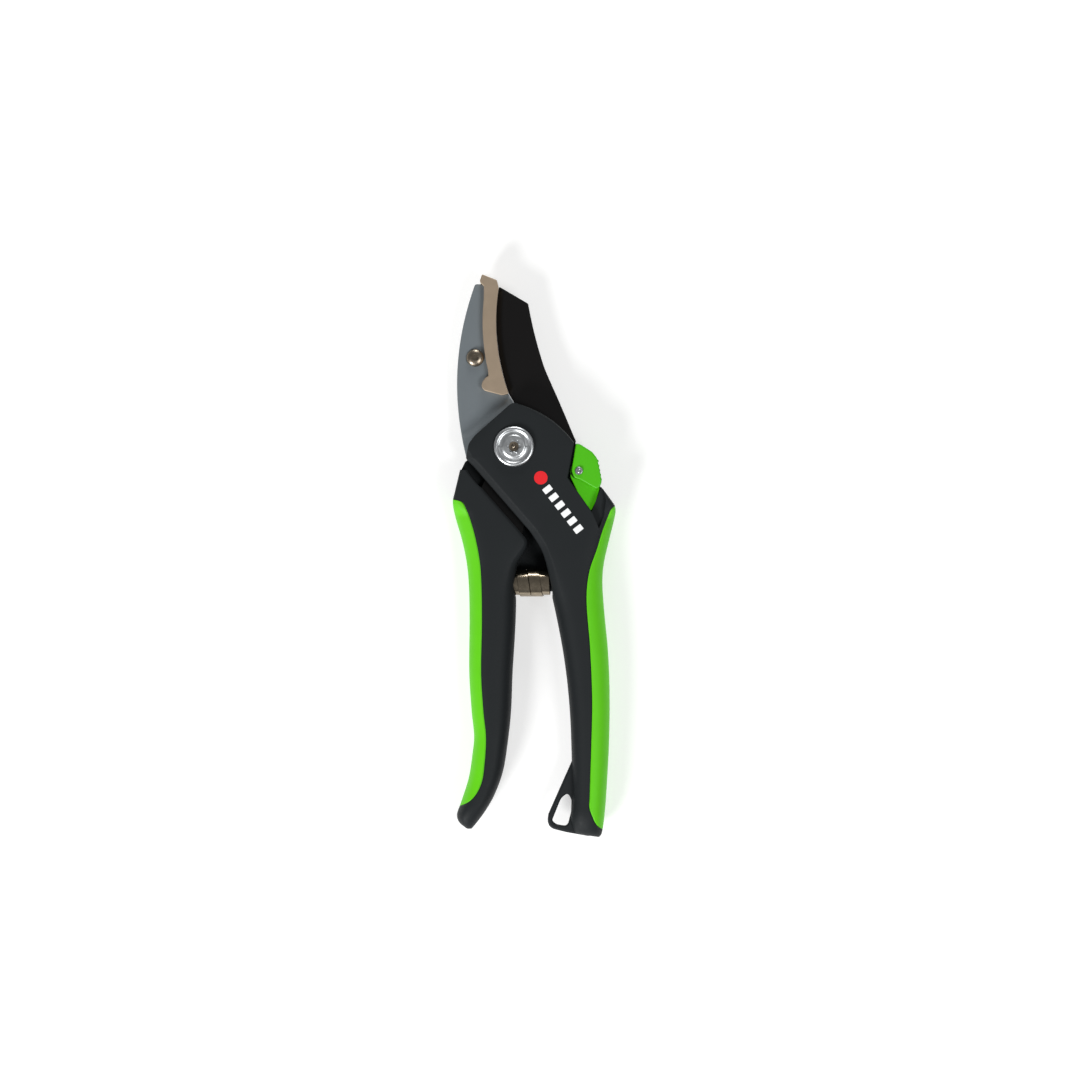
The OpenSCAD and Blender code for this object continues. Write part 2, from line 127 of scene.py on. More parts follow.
FORK_LEFT = [[-16.2, 0.3], [-16, -1.1], [-4.1, -14.5], [-1.1, -16.8], [4.4, -17.9], [7.9, -14.6],
             [31.7, 6.1]]
FORK_RIGHT = [[-1.5, 22.4], [-0.6, 24.3], [3, 28.4], [8.5, 30.6], [14.6, 31.8], [15, 32.6],
              [21.6, 37.5]]
ANVIL_INNER = [[31.7, 6.1], [37.7, 9.9], [43.6, 12], [down(.08), 13.6], [down(.2), 16.1],
               [down(.32), 18.3], [down(.44), 19.9], [down(.56), 20.9], [down(.68), 21.4],
               [down(.78), 21.6], [down(.88), 21.7], [down(.96), 21], [down(1.02), 22.5]]
ANVIL_OUTER = [[21.6, 37.5], [23.4, 37.9], [25.7, 37.7], [34.7, 35.5], [43.6, 33.5],
               [down(.06), 33], [down(.18), 33.8], [down(.32), 35.1], [down(.48), 35.7],
               [down(.66), 35.5], [down(.8), 34.8], [down(.92), 33.9], [down(1), 32.7],
               [down(1.02), 31.2]]
ANVIL_SPLIT = [[21.6, 38.6], [23, 36.4], [25.7, 35.1], [31.7, 32.8], [37.7, 31], [46.6, 28],
               [down(.12), 27], [down(.3), 28.3], [down(.5), 29.1], [down(.66), 28.8],
               [down(.8), 28.3], [down(.9), 28], [down(.94), 29.3], [down(.97), 31.2],
               [down(.985), 34]]
BLADE_INNER = [[8.5, -17.6], [13.8, -13.3], [32.6, 3.1], [35, 4.9], [37.7, 4.6], [40.7, 2.9],
               [43.6, 1.4], [down(.05), 0.7], [down(.14), 0.8], [down(.25), 0.4],
               [down(.4), -0.5], [down(.55), -1.1], [down(.68), -2.5], [down(.78), -4.2],
               [down(.87), -7.5], [down(.93), -10.9], [down(.97), -13.8], [down(.995), -15.9]]
BLADE_OUTER = [[8.5, -20], [16.8, -22], [20.6, -22.8], [25.7, -22], [34.7, -19.4],
               [43.6, -17.6], [down(.08), -16.8], [down(.2), -16.6], [down(.4), -16.7],
               [down(.55), -15.8], [down(.64), -14.9], [down(.7), -15.4], [down(.8), -16.9],
               [down(.9), -20], [down(.94), -21.3], [down(.97), -20.4], [down(.995), -17.4]]
BLADE_SPLIT = [[19.4, -23.4], [20.4, -19.6], [22.8, -17.9], [28.7, -15.7], [37.7, -13.5],
               [46.6, -12.3], [down(.2), -11.9], [down(.4), -12.2], [down(.55), -11.3],
               [down(.64), -10.4], [down(.74), -10.9], [down(.82), -12.2], [down(.88), -15.9],
               [down(.915), -22]]


# -------- curves and outlines

def curve(knots, d):
    """Smooth curve through knots of [distance, x], read at distance d."""
    k = np.asarray(knots, float)
    i = int(np.clip(np.searchsorted(k[:, 0], d) - 1, 0, len(k) - 2))

    def slope(n):
        a, b = max(n - 1, 0), min(n + 1, len(k) - 1)
        return (k[b, 1] - k[a, 1]) / (k[b, 0] - k[a, 0])

    span = k[i + 1, 0] - k[i, 0]
    t = (d - k[i, 0]) / span
    return ((2 * t**3 - 3 * t**2 + 1) * k[i, 1] + (t**3 - 2 * t**2 + t) * slope(i) * span
            + (3 * t**2 - 2 * t**3) * k[i + 1, 1] + (t**3 - t**2) * slope(i + 1) * span)


def straight(knots, d):
    """Straight lines through knots of [distance, x], read at distance d."""
    k = np.asarray(knots, float)
    return float(np.interp(d, k[:, 0], k[:, 1]))


def ease(value, low, high):
    """0 below low, 1 above high, and a smooth step between."""
    t = min(max((value - low) / (high - low), 0), 1)
    return t * t * (3 - 2 * t)


def bow_at(a, b, rise, f):
    """Point at a share f of a shallow bow from a to b, bulging to the left by rise."""
    d = b - a
    left = np.array([-d[1], d[0]]) / hypot(*d)
    return a + f * d + 4 * rise * f * (1 - f) * left


def bowed(a, b, rise, n=24):
    """Points of a shallow bow from a to b."""
    a, b = np.asarray(a, float), np.asarray(b, float)
    return [bow_at(a, b, rise, i / n) for i in range(n + 1)]


def along_edge(shares, offset):
    """Points beside the cutting edge, at the given shares of its length."""
    return [bow_at(EDGE_ROOT, EDGE_TIP, EDGE_BOW, f) + offset * TO_ANVIL for f in shares]


def round_corners(outline, radius, steps=4):
    """The outline with every corner sharper than 20 degrees cut back and rounded."""
    pts = [np.asarray(p, float) for p in outline]
    out = []
    for i, p in enumerate(pts):
        a, b = pts[i - 1], pts[(i + 1) % len(pts)]
        u, v = a - p, b - p
        lu, lv = hypot(*u), hypot(*v)
        turn = pi - abs(atan2(u[0] * v[1] - u[1] * v[0], float(np.dot(u, v))))
        if turn < radians(20):
            out.append(p)
            continue
        cut = min(radius, 0.45 * lu, 0.45 * lv)
        start, end = p + u / lu * cut, p + v / lv * cut
        for k in range(steps + 1):
            t = k / steps
            out.append((1 - t) ** 2 * start + 2 * t * (1 - t) * p + t**2 * end)
    return out


def circle(at, radius, n=64):
    """Points of a circle."""
    return [np.array([at[0] + radius * cos(2 * pi * i / n), at[1] + radius * sin(2 * pi * i / n)])
            for i in range(n)]


def regular(at, across_flats, n=6):
    """Points of a regular polygon of the given width across its flats."""
    return circle(at, across_flats / 2 / cos(pi / n), n)


def six_lobe(at, radius, n=48):
    """Points of a six-lobed driver socket."""
    pts = []
    for i in range(n):
        a = 2 * pi * i / n
        r = radius * (0.86 + 0.14 * cos(6 * a))
        pts.append(np.array([at[0] + r * cos(a), at[1] + r * sin(a)]))
    return pts


def wound_left(outline):
    """The outline turned, if need be, so that its inside is on the left."""
    p = np.asarray(outline, float)
    q = np.roll(p, -1, axis=0)
    return p if np.sum(p[:, 0] * q[:, 1] - q[:, 0] * p[:, 1]) > 0 else p[::-1]


def inward(p):
    """Which way and how far each point goes as the outline is drawn in by 1."""
    ahead, behind = np.roll(p, -1, axis=0) - p, p - np.roll(p, 1, axis=0)
    na = np.c_[-ahead[:, 1], ahead[:, 0]] / np.hypot(*ahead.T)[:, None]
    nb = np.c_[-behind[:, 1], behind[:, 0]] / np.hypot(*behind.T)[:, None]
    n = na + nb
    return n / np.maximum((n * na).sum(1), 0.55)[:, None]


def room_inside(p):
    """How far each point can be drawn in before the outline meets itself."""
    n = inward(p)
    length = np.hypot(*n.T)
    m = n / length[:, None]
    to = p[None, :, :] - p[:, None, :]
    toward = (to * m[:, None, :]).sum(2)
    reach = (to ** 2).sum(2) / np.where(toward > 1e-6, 2 * toward, np.inf)
    reach[reach < 1e-9] = np.inf
    return reach.min(1) / length


def drawn_in(p, amount):
    """The outline moved inwards by one amount, or by one amount for each of its points."""
    amount = np.minimum(np.broadcast_to(np.asarray(amount, float), len(p)), 0.8 * room_inside(p))
    return p + inward(p) * amount[:, None]


# -------- meshes

# Width of the narrow strip round the flat faces of a slab, inside its edge
SLAB_RIM = 0.12


def mesh_object(name, vertices, faces, material=None):
    """A new mesh object from points in millimetres."""
    mesh = bpy.data.meshes.new(name)
    mesh.from_pydata([tuple(float(c) * MM for c in v) for v in vertices], [], faces)
    mesh.validate()
    obj = bpy.data.objects.new(name, mesh)
    bpy.context.scene.collection.objects.link(obj)
    if material:
        mesh.materials.append(material)
    shade(obj)
    return obj


def shade(obj):
    """Smooth faces, with a crease wherever two faces meet at a clear angle."""
    mesh = obj.data
    mesh.polygons.foreach_set("use_smooth", [True] * len(mesh.polygons))
    mesh.set_sharp_from_angle(angle=SHARP_ANGLE)
    mesh.update()


def ring_faces(rings, points):
    """Quads between closed rings of the same number of points, with a face over each end."""
    faces = []
    for i in range(rings - 1):
        a, b = i * points, (i + 1) * points
        for k in range(points):
            j = (k + 1) % points
            faces.append((a + k, a + j, b + j, b + k))
    faces.append(tuple(range(points - 1, -1, -1)))
    faces.append(tuple((rings - 1) * points + k for k in range(points)))
    return faces


def slab(name, outline, z0, z1, edge, steps=3):
    """A plate with rounded edges, or with a (width, depth) ground off the edge at each point."""
    p = wound_left(outline)
    if np.ndim(edge):
        same_way = np.allclose(p[0], outline[0])
        width, depth = np.asarray(edge if same_way else edge[::-1], float).T
        profile = [(width, 0), (0, depth)]
    else:
        turns = [radians(90 * k / steps) for k in range(steps + 1)]
        profile = [(edge * (1 - sin(a)), edge * (1 - cos(a))) for a in turns]
    rim = profile[0][0] + SLAB_RIM
    levels = [(rim, z0)] + [(inset, z0 + rise) for inset, rise in profile]
    levels += [(inset, z1 - rise) for inset, rise in reversed(profile)] + [(rim, z1)]
    rings = [np.c_[drawn_in(p, inset), np.broadcast_to(np.asarray(z, float), len(p))]
             for inset, z in levels]
    return mesh_object(name, np.vstack(rings), ring_faces(len(rings), len(p)))


def lathe(name, profile, at, n=96):
    """A turned solid. profile runs from the axis underneath to the axis on top, as (radius, z)."""
    inner = profile[1:-1]
    vertices = [(at[0], at[1], profile[0][1])]
    for r, z in inner:
        vertices += [(at[0] + r * cos(2 * pi * k / n), at[1] + r * sin(2 * pi * k / n), z)
                     for k in range(n)]
    vertices.append((at[0], at[1], profile[-1][1]))
    faces = [(0, 1 + (k + 1) % n, 1 + k) for k in range(n)]
    for i in range(len(inner) - 1):
        a, b = 1 + i * n, 1 + (i + 1) * n
        faces += [(a + k, a + (k + 1) % n, b + (k + 1) % n, b + k) for k in range(n)]
    top, last = len(vertices) - 1, 1 + (len(inner) - 1) * n
    faces += [(top, last + k, last + (k + 1) % n) for k in range(n)]
    return mesh_object(name, vertices, faces)


def prism(outline, z0, z1):
    """A plain prism that cuts or adds to another piece."""
    p = wound_left(outline)
    points = [(x, y, z0) for x, y in p] + [(x, y, z1) for x, y in p]
    return mesh_object("tool", points, ring_faces(2, len(p)))


def bar_along_x(x0, x1, y, z, radius, n=48):
    """A cylinder along X that cuts or adds to another piece."""
    points = [(x, y + radius * cos(2 * pi * k / n), z + radius * sin(2 * pi * k / n))
              for x in (x0, x1) for k in range(n)]
    return mesh_object("tool", points, ring_faces(2, n))


def carve(obj, tools, operation="DIFFERENCE"):
    """Cuts the tools out of a piece, or joins them to it, and removes them."""
    for tool in tools:
        modifier = obj.modifiers.new("carve", "BOOLEAN")
        modifier.object = tool
        modifier.operation = operation
        modifier.solver = "MANIFOLD"
    settle(obj)
    for tool in tools:
        bpy.data.objects.remove(tool)


def settle(obj):
    """Turns a piece's modifiers into its mesh."""
    graph = bpy.context.evaluated_depsgraph_get()
    mesh = bpy.data.meshes.new_from_object(obj.evaluated_get(graph))
    obj.modifiers.clear()
    obj.data = mesh
    shade(obj)


def coat(obj, material):
    """Gives a piece its one material."""
    obj.data.materials.clear()
    obj.data.materials.append(material)


def place(obj, material, body, material_slot, *nodes):
    """Coats a piece and hands it to the frame, with the CAD nodes that it stands for."""
    coat(obj, material)
    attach(obj, body)
    if nodes:
        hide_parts(*nodes)


# -------- handle sections

CHEEK_RISE = Z_TOP / 2
GRIP_RISE = CHEEK_RISE - 0.2
GRIP_ROUND = 9.0
END_ROUND = 9.0
SEAM_WIDTH = 0.45
SEAM_DEPTH = 0.3
OUTER_FLAT = 0.8
INNER_STEPS = (0.1, 0.2, 0.3, 0.36, 0.42, 0.48, 0.54, 0.6, 0.66, 0.72, 0.8, 0.9, 1.0)


def spaced(first, *stretches):
    """Distances from first onwards; each stretch is (distance, step on the way to it)."""
    out = [first]
    for end, step in stretches:
        count = max(1, round((end - out[-1]) / step))
        out += list(np.linspace(out[-1], end, count + 1)[1:])
    return out


def slope_of(line, d):
    """How much longer a width gets when it is measured across the handle at a slanting edge."""
    return hypot(1, (line(d + 0.25) - line(d - 0.25)) / 0.5)


def section(d, outer, inner, chamfer, last, crisp, round_from):
    """Everything that shapes the handle's section at distance d.

    crisp is how square the outer edge is (1) or how round (0); round_from is the stretch over
    which the chamfered inner edge turns into a round one.
    """
    xo, xi = outer(d), inner(d)
    half = max(abs(xo - xi) / 2, 0.02)
    t = min(max((d - last + END_ROUND) / END_ROUND, 0), 1)
    end = 0.34 + 0.66 * sqrt(1 - t * t)
    soften = ease(d, *round_from)
    reach = (3 * crisp + GRIP_ROUND * (1 - crisp)) * (1 + crisp * (slope_of(outer, d) - 1))
    stretch = min(slope_of(inner, d), 3)
    return {"d": d, "outer": xo, "inner": xi, "side": 1 if xo > xi else -1, "half": half,
            "rise": (CHEEK_RISE + (GRIP_RISE - CHEEK_RISE) * soften) * end,
            "reach": min(reach, 0.97 * half), "power": 2.3 + 7.7 * crisp, "soften": soften,
            "chamfer": (min(chamfer[0] * stretch, 0.6 * half), chamfer[1] * end)}


def rounded_corner(width, rise, power, share):
    """(inset, height) of a point at a share of the way up a rounded edge."""
    a = radians(90 * share)
    return width * (1 - abs(cos(a)) ** (2 / power)), rise * abs(sin(a)) ** (2 / power)


def surface(row, s):
    """(x, height) on the upper side: s is 0 at the outer edge, 1 in the middle, 2 at the inner edge."""
    if s <= 1:
        inset, rise = rounded_corner(row["reach"], row["rise"], row["power"], min(s / OUTER_FLAT, 1))
        inset += max(s - OUTER_FLAT, 0) / (1 - OUTER_FLAT) * (row["half"] - row["reach"])
        return row["outer"] - row["side"] * inset, rise
    share = 2 - s
    width, drop = row["chamfer"]
    top, soft = row["rise"], min(0.35, drop / 3)
    marks = (0, 0.3, 0.36, 0.42, 0.6, 0.66, 0.72, 1)
    across = (0, 0, 0.04 * width, 0.16 * width, 0.82 * width, 0.93 * width, 1.12 * width, row["half"])
    up = (0, top - drop - soft, top - drop, top - 0.86 * drop, top - 0.16 * drop, top - 0.05 * drop,
          top, top)
    flat = (np.interp(share, marks, across), np.interp(share, marks, up))
    bulge = rounded_corner(0.97 * row["half"], top, 2.5, share)
    bulge = (bulge[0] + 0.03 * row["half"] * share, bulge[1])
    w = row["soften"]
    inset, rise = ((1 - w) * a + w * b for a, b in zip(flat, bulge))
    return row["inner"] + row["side"] * inset, rise


def crossing(row, x):
    """Where the upper side of a section reaches x, on its outer half."""
    low, high = 0.0, 1.0
    for _ in range(26):
        s = (low + high) / 2
        if row["side"] * (surface(row, s)[0] - x) > 0:
            low = s
        else:
            high = s
    return high


def ring_of(row, shares, dip, lean):
    """A closed ring of points over the upper side through the shares, and back along the lower one."""
    top = []
    for i, s in enumerate(shares):
        x, rise = surface(row, s)
        top.append((x, max(rise - (dip if i == 0 else 0), 0)))
    upper = [(x, lean(x, row["d"]), Z_MID + rise) for x, rise in top]
    lower = [(x, lean(x, row["d"]), Z_MID - rise) for x, rise in reversed(top[:-1])]
    return upper + lower


def skin(name, rings):
    """A closed mesh over rings that run over the top and back below, with strips over both ends."""
    points = len(rings[0])
    half = (points + 1) // 2
    faces = ring_faces(len(rings), points)[:-2]
    for base, flip in ((0, 1), ((len(rings) - 1) * points, -1)):
        for k in range(half - 1):
            strip = [base + k, base + k + 1, base + points - 2 - k, base + points - 1 - k]
            faces.append(tuple(dict.fromkeys(strip[::flip])))
    obj = mesh_object(name, [p for ring in rings for p in ring], faces)
    tidy_mesh(obj)
    return obj


def tidy_mesh(obj):
    """Merges doubled points, drops empty faces and turns every face outwards."""
    mesh = bmesh.new()
    mesh.from_mesh(obj.data)
    bmesh.ops.remove_doubles(mesh, verts=mesh.verts, dist=1e-6)
    bmesh.ops.dissolve_degenerate(mesh, edges=mesh.edges, dist=1e-6)
    bmesh.ops.recalc_face_normals(mesh, faces=mesh.faces)
    mesh.to_mesh(obj.data)
    mesh.free()
    shade(obj)


def core_and_grip(name, rows, split, lean):
    """The hard core of a handle and the soft grip outside its split line."""
    first, last = split[0][0], split[-1][0]
    core, grip = [], []
    for row in rows:
        d = row["d"]
        cut, lip_in, lip_out = 0.02, 0.06, 0.0
        covered = first <= d <= last
        if covered:
            x = curve(split, d)
            cut = max(crossing(row, x), 0.02)
            lip_in = max(crossing(row, x - row["side"] * SEAM_WIDTH), cut + 0.005)
            lip_out = min(crossing(row, x + row["side"] * SEAM_WIDTH), cut - 0.005)
            lip_out = max(lip_out, 0.7 * cut)
        dip = SEAM_DEPTH * min(1, (cut - 0.02) / 0.15) if covered else 0
        over = [lip_in + (1 - lip_in) * k / 9 for k in range(10)]
        shares = [cut] + over + [2 - s for s in reversed(INNER_STEPS[:-1])] + [2]
        core.append(ring_of(row, shares, dip, lean))
        if covered:
            shares = [cut] + [lip_out * (1 - k / 13) for k in range(14)]
            grip.append(ring_of(row, shares, dip, lean))
    return skin(name, core), skin(name + "_grip", grip)


def averaged(line, reach=0.5):
    """The line with its corners softened, as a moulding's are."""
    return lambda d: sum(line(d + reach * k / 2) for k in range(-2, 3)) / 5


def opening(outline, z0, z1, flare=0.4):
    """A cutting tool whose mouths widen a little, so that the cut has bevelled edges."""
    p = wound_left(outline)
    rings = []
    for out, z in ((2 * flare, z0 - flare), (0, z0 + flare), (0, z1 - flare), (2 * flare, z1 + flare)):
        rings.append(np.c_[drawn_in(p, -out), np.full(len(p), z)])
    return mesh_object("tool", np.vstack(rings), ring_faces(4, len(p)))


# -------- the two handles

FORK_ARC = [[-y, x] for x, y in bowed([0.4, 16.2], [22.4, 1.5], 2.4, 60)]
SLOT = [[8.5, -36.5], [13.5, -19], [20.8, -13.2], [60, -13.2], [60, 60], [-60, 60], [-60, -60],
        [-2, -60], [3, -36.5]]
LEVER_ROOM = [[16.5, 8], [16.5, -10], [20.6, -27], [29.2, -25.6], [33, -14.2], [60, -14.2], [60, 8]]
LEVER_WINDOW = [[22.4, 8], [22.4, 1.5], [20, -11.6], [28.9, -24.2], [32.9, -13.9], [60, -8], [60, 8]]
HEAD = [[12.4, -3], [6.4, -28], [2, -33.5], [-12, -30], [-19.5, -22], [-20.2, -9.5], [-18.3, -5.6],
        [-14, -2]]
SPRING_Y = -50.7
FIXED_LENGTH = 144.3
MOVING_LENGTH = 142.3
WEB_TOP, WEB_FOOT, WEB_HEIGHT = 27, 46.8, 4.2
END = -down(1)
LOOP = [[23.5, END + 29.4], [21.4, END + 25.4], [12.8, END + 6], [12.5, END + 3.5], [13.2, END + 1.6],
        [14.6, END + 0.6], [19.4, END - 0.6], [29, END - 2.3], [29, END + 3]]
EYE = [[20, END + 14], [21.5, END + 11.6], [21.3, END + 6.8], [20.2, END + 2.4], [19.2, END + 1.6],
       [15.8, END + 2.1], [14.1, END + 3.6], [17.6, END + 12.2]]
TRENCH = [[31.6, -12], [33.3, -15.6], [34.2, -20], [33.4, -26], [31.6, -30.5], [28.9, -24.2]]
JAW_SCREWS_AT = [[14.6, -30], [18, -40.5]]
BLADE_SCREWS_AT = [[-8.5, -25.5], [-5.5, -37]]


def fixed_outer(d):
    """Right-hand edge of the fixed handle."""
    if d > ANVIL_OUTER[0][0]:
        return curve(ANVIL_OUTER, d)
    return straight(FORK_ARC + FORK_RIGHT[1:], d)


def fixed_inner(d):
    """Left-hand edge of the fixed handle."""
    return curve(ANVIL_INNER, d) if d > ANVIL_INNER[0][0] else straight(FORK_LEFT, d)


def fixed_lean(x, d):
    """The fixed handle ends on a slant, in line with the loop beside it."""
    return -d - 0.18 * (x - 25) * ease(d, 120, 144)


def fixed_handle(bevel):
    """Fork, handle and hanging loop in one moulding, and the soft grip on its outer edge."""
    outer, inner = averaged(fixed_outer), averaged(fixed_inner)
    last = FIXED_LENGTH
    rows = []
    for d in spaced(-16.12, (-15.9, 0.05), (-15.2, 0.12), (-13, 0.3), (-3.2, 0.7), (9.2, 0.4),
                    (21.4, 0.8), (23.6, 0.14), (40, 0.8), (120, 1.6), (137, 1), (last, 0.3)):
        wide = ease(d, 0.5, 4.5)
        edge = (0.3 + (bevel - 0.3) * wide, 0.3 + (0.8 * bevel - 0.3) * wide)
        rows.append(section(d, outer, inner, edge, last, 1 - ease(d, 17, 27), (38, 62)))
    core, grip = core_and_grip("fixed_handle_core", rows, ANVIL_SPLIT, fixed_lean)
    loop = slab("tool", round_corners(LOOP, 1.6), Z_MID - 2.5, Z_MID + 2.5, 0.8)
    carve(core, [loop, prism(web_outline(0.7), 0.8, WEB_HEIGHT)], "UNION")
    cuts = [
        prism(SLOT, Z_CHEEK, Z_FRONT),
        prism(LEVER_ROOM, Z_FRONT - 3, Z_FRONT),
        opening(LEVER_WINDOW, Z_FRONT - 3, Z_TOP, 0.3),
        opening(TRENCH, Z_TOP - 1.5, Z_TOP + 2, 0.5),
        prism(circle([0, 0], BOLT_BORE), -1, Z_TOP + 1),
        opening(regular([0, 0], 11.2), -2, 3, 0.3),
        bar_along_x(5, 14.4, SPRING_Y, Z_MID, SPRING_POCKET),
        opening(round_corners(EYE, 1.2), Z_MID - 2.5, Z_MID + 2.5, 0.4),
    ]
    cuts += [opening(circle(at, SCREW_POCKET, 40), -1, 2.2, 0.3) for at in JAW_SCREWS_AT]
    carve(core, cuts)
    carve(core, [bar_along_x(11.8, 14.9, SPRING_Y, Z_MID, SPRING_PEG)], "UNION")
    return core, grip


def web_outline(tuck, spare=0):
    """Web above the spring. It runs under the moving handle's edge by tuck; spare makes it longer."""
    def near(d):
        return curve(BLADE_INNER, d)
    downwards = np.linspace(WEB_TOP - spare, WEB_FOOT + spare, 40)
    edge = [[near(d) - tuck * slope_of(near, d), -d] for d in downwards]
    return edge + [[15, -WEB_FOOT - spare], [15, -34], [9, spare - WEB_TOP]]


def moving_handle():
    """The handle that carries the blade, and its soft grip."""
    outer = averaged(lambda d: curve(BLADE_OUTER, d))
    inner = averaged(lambda d: curve(BLADE_INNER, d))
    last = MOVING_LENGTH
    rows = []
    for d in spaced(8.6, (19.2, 0.6), (21.6, 0.12), (45, 0.8), (110, 1.6), (128, 1), (138, 0.5),
                    (last, 0.14)):
        rows.append(section(d, outer, inner, (0.8, 0.7), last, 1 - ease(d, 15, 26), (30, 58)))
    core, grip = core_and_grip("moving_handle_core", rows, BLADE_SPLIT, lambda x, d: -d)
    carve(core, [prism(circle([0, 0], FORK_SWEEP, 96), -1, Z_TOP + 1)])
    carve(core, [prism(HEAD, Z_HEAD, Z_BLADE)], "UNION")
    carve(core, [prism(circle([0, 0], HUB_RADIUS, 96), Z_HEAD, Z_BLADE)], "UNION")
    cuts = [
        prism(web_outline(1.1, 0.4), -1, WEB_HEIGHT + 0.3),
        prism(drawn_in(wound_left(blade_outline()), -0.05), Z_BLADE, Z_BLADE_TOP + 0.1),
        prism(circle([0, 0], BUSH_BORE), -1, Z_TOP + 1),
        bar_along_x(-1, 8.4, SPRING_Y, Z_MID, SPRING_POCKET),
    ]
    cuts += [opening(circle(at, SCREW_POCKET, 40), -1, 2.2, 0.3) for at in BLADE_SCREWS_AT]
    carve(core, cuts)
    carve(core, [bar_along_x(-1.5, 1.6, SPRING_Y, Z_MID, SPRING_PEG)], "UNION")
    return core, grip


# -------- the cutting head

JOGGLE_DIRECTION = np.array([cos(radians(127)), sin(radians(127))])
JOGGLE = (12.6, 15.8)
SHEET = 2.6
JAW_EDGE = 0.35
EDGE_POINTS = 32
BACK_CHAMFER = (0.15, 0.15)


def blade_outline():
    """Blade with its tang, from the cutting edge round its back to the tang."""
    tang = [[22.9, 0.5], [20.8, -3.2], [13, -9.4], [9.2, -12.6], [5.2, -24], [1.2, -40.5],
            [-1.4, -42], [-7, -41.4], [-9.6, -39.4], [-13.4, -21], [-12.2, -15], [-9.5, -9],
            [-6, 10.5], [0.1, 16.4]]
    nose = [EDGE_TIP + p for p in ([0.12, 0.8], [0.3, 1], [0.7, 0.95])]
    nose += [BLADE_BACK + p for p in ([-0.7, 1.1], [-0.15, 0.7])]
    back = [p + [0.8 * sin(pi * min(max((i / 24 - 0.45) / 0.55, 0), 1)), 0]
            for i, p in enumerate(bowed(BLADE_BACK, BLADE_HEEL, -2.1, 24))]
    return (bowed(EDGE_ROOT, EDGE_TIP, EDGE_BOW, EDGE_POINTS) + nose + back
            + [np.array(p) for p in tang])


def blade_grind(width, depth):
    """How far each point of the blade's outline is ground back, on both faces."""
    return [(width, depth) if i <= EDGE_POINTS else BACK_CHAMFER for i in range(len(blade_outline()))]


def jaw_outline():
    """Jaw plate with the tang that runs down inside the fixed handle."""
    corner = EDGE_TIP + [-8.7, 2.2]
    return (bowed([-17.7, -4.1], corner, 5.05, 40)[:-1]
            + [corner + p for p in ([-0.42, -1.13], [-0.12, -0.45], [0.25, -0.12], [1.2, -0.05])]
            + [EDGE_TIP + [-4.2, 2]]
            + along_edge([i / 24 for i in range(23, 1, -1)], 3.2)
            + [np.array(p) for p in [[-5.2, 20.6], [-2, 19.6], [-0.02, 16.4], [6, 11.6], [11.2, 5.4],
                                     [12.4, -2], [17.5, -16], [22, -32], [22, -46], [15.4, -46],
                                     [12, -40], [8, -33], [-13.2, -8.2]]])


def anvil_outline(thickness):
    """Anvil strip with the head over the jaw's tip and the hooked lobe at its root."""
    face = along_edge([i / 32 for i in range(33)], 0.04)
    head = [EDGE_TIP + p for p in ([0, 1.2], [-0.6, 3.5], [-6.1, 5.7], [-7, 3.1], [-6.3, 2],
                                   [-5.4, 1.4])]
    back = along_edge([i / 24 for i in range(22, 5, -1)], thickness)
    lobe = [EDGE_ROOT + p for p in ([-7.6, 6.6], [-8.7, 6], [-9.8, 4.6], [-10.2, 3.2], [-9.9, 2],
                                    [-8.9, 1.1], [-2.4, -0.6])]
    return round_corners(face + head + back + lobe, 0.5, 3)


def jaw_plate(edge):
    """Pressed plate that steps down from the fork to the plane of the blade."""
    jaw = slab("jaw", jaw_outline(), Z_FRONT - SHEET, Z_FRONT, edge)
    mesh = bmesh.new()
    mesh.from_mesh(jaw.data)
    bmesh.ops.triangulate(mesh, faces=[f for f in mesh.faces if len(f.verts) > 4])
    start, stop = JOGGLE
    for i in range(15):
        reach = start - 0.8 + (stop - start + 1.6) * i / 14
        everything = mesh.verts[:] + mesh.edges[:] + mesh.faces[:]
        bmesh.ops.bisect_plane(mesh, geom=everything, dist=1e-7,
                               plane_co=(*JOGGLE_DIRECTION * reach * MM, 0),
                               plane_no=(*JOGGLE_DIRECTION, 0))
    for v in mesh.verts:
        reach = (v.co.x * JOGGLE_DIRECTION[0] + v.co.y * JOGGLE_DIRECTION[1]) / MM
        v.co.z -= (Z_FRONT - SHEET - Z_BLADE) * MM * ramp(reach, start, stop)
    mesh.to_mesh(jaw.data)
    mesh.free()
    shade(jaw)
    carve(jaw, [prism(circle([0, 0], BUSH_BORE), 0, Z_TOP)])
    return jaw


def ramp(reach, start, stop):
    """A straight step from 0 to 1 with small bend radii at both ends."""
    soft = 0.8
    if reach <= start - soft:
        return 0.0
    if reach >= stop + soft:
        return 1.0
    span = stop - start
    if reach < start + soft:
        return (reach - start + soft) ** 2 / (4 * soft * span)
    if reach > stop - soft:
        return 1 - (stop + soft - reach) ** 2 / (4 * soft * span)
    return (reach - start) / span


def anvil(thickness):
    """Cast anvil that grips the edge of the jaw plate, with a foot behind it for its screw."""
    low, high = level("anvil_strip", 0), level("anvil_strip", 1)
    strip = slab("anvil", anvil_outline(thickness), low, high, 0.25)
    at = ANVIL_SCREW_AT
    foot = prism([at + p for p in ([0, 3.2], [5, 5], [6, -6], [0, -3.2])], Z_BLADE - 2.4, Z_BLADE)
    carve(strip, [prism(circle(at, 3.3), Z_BLADE - 2.4, Z_BLADE)], "UNION")
    carve(strip, [foot], "UNION")
    carve(strip, [prism(jaw_outline(), Z_BLADE, Z_BLADE + SHEET), prism(circle(at, 2), 0, Z_TOP)])
    return strip


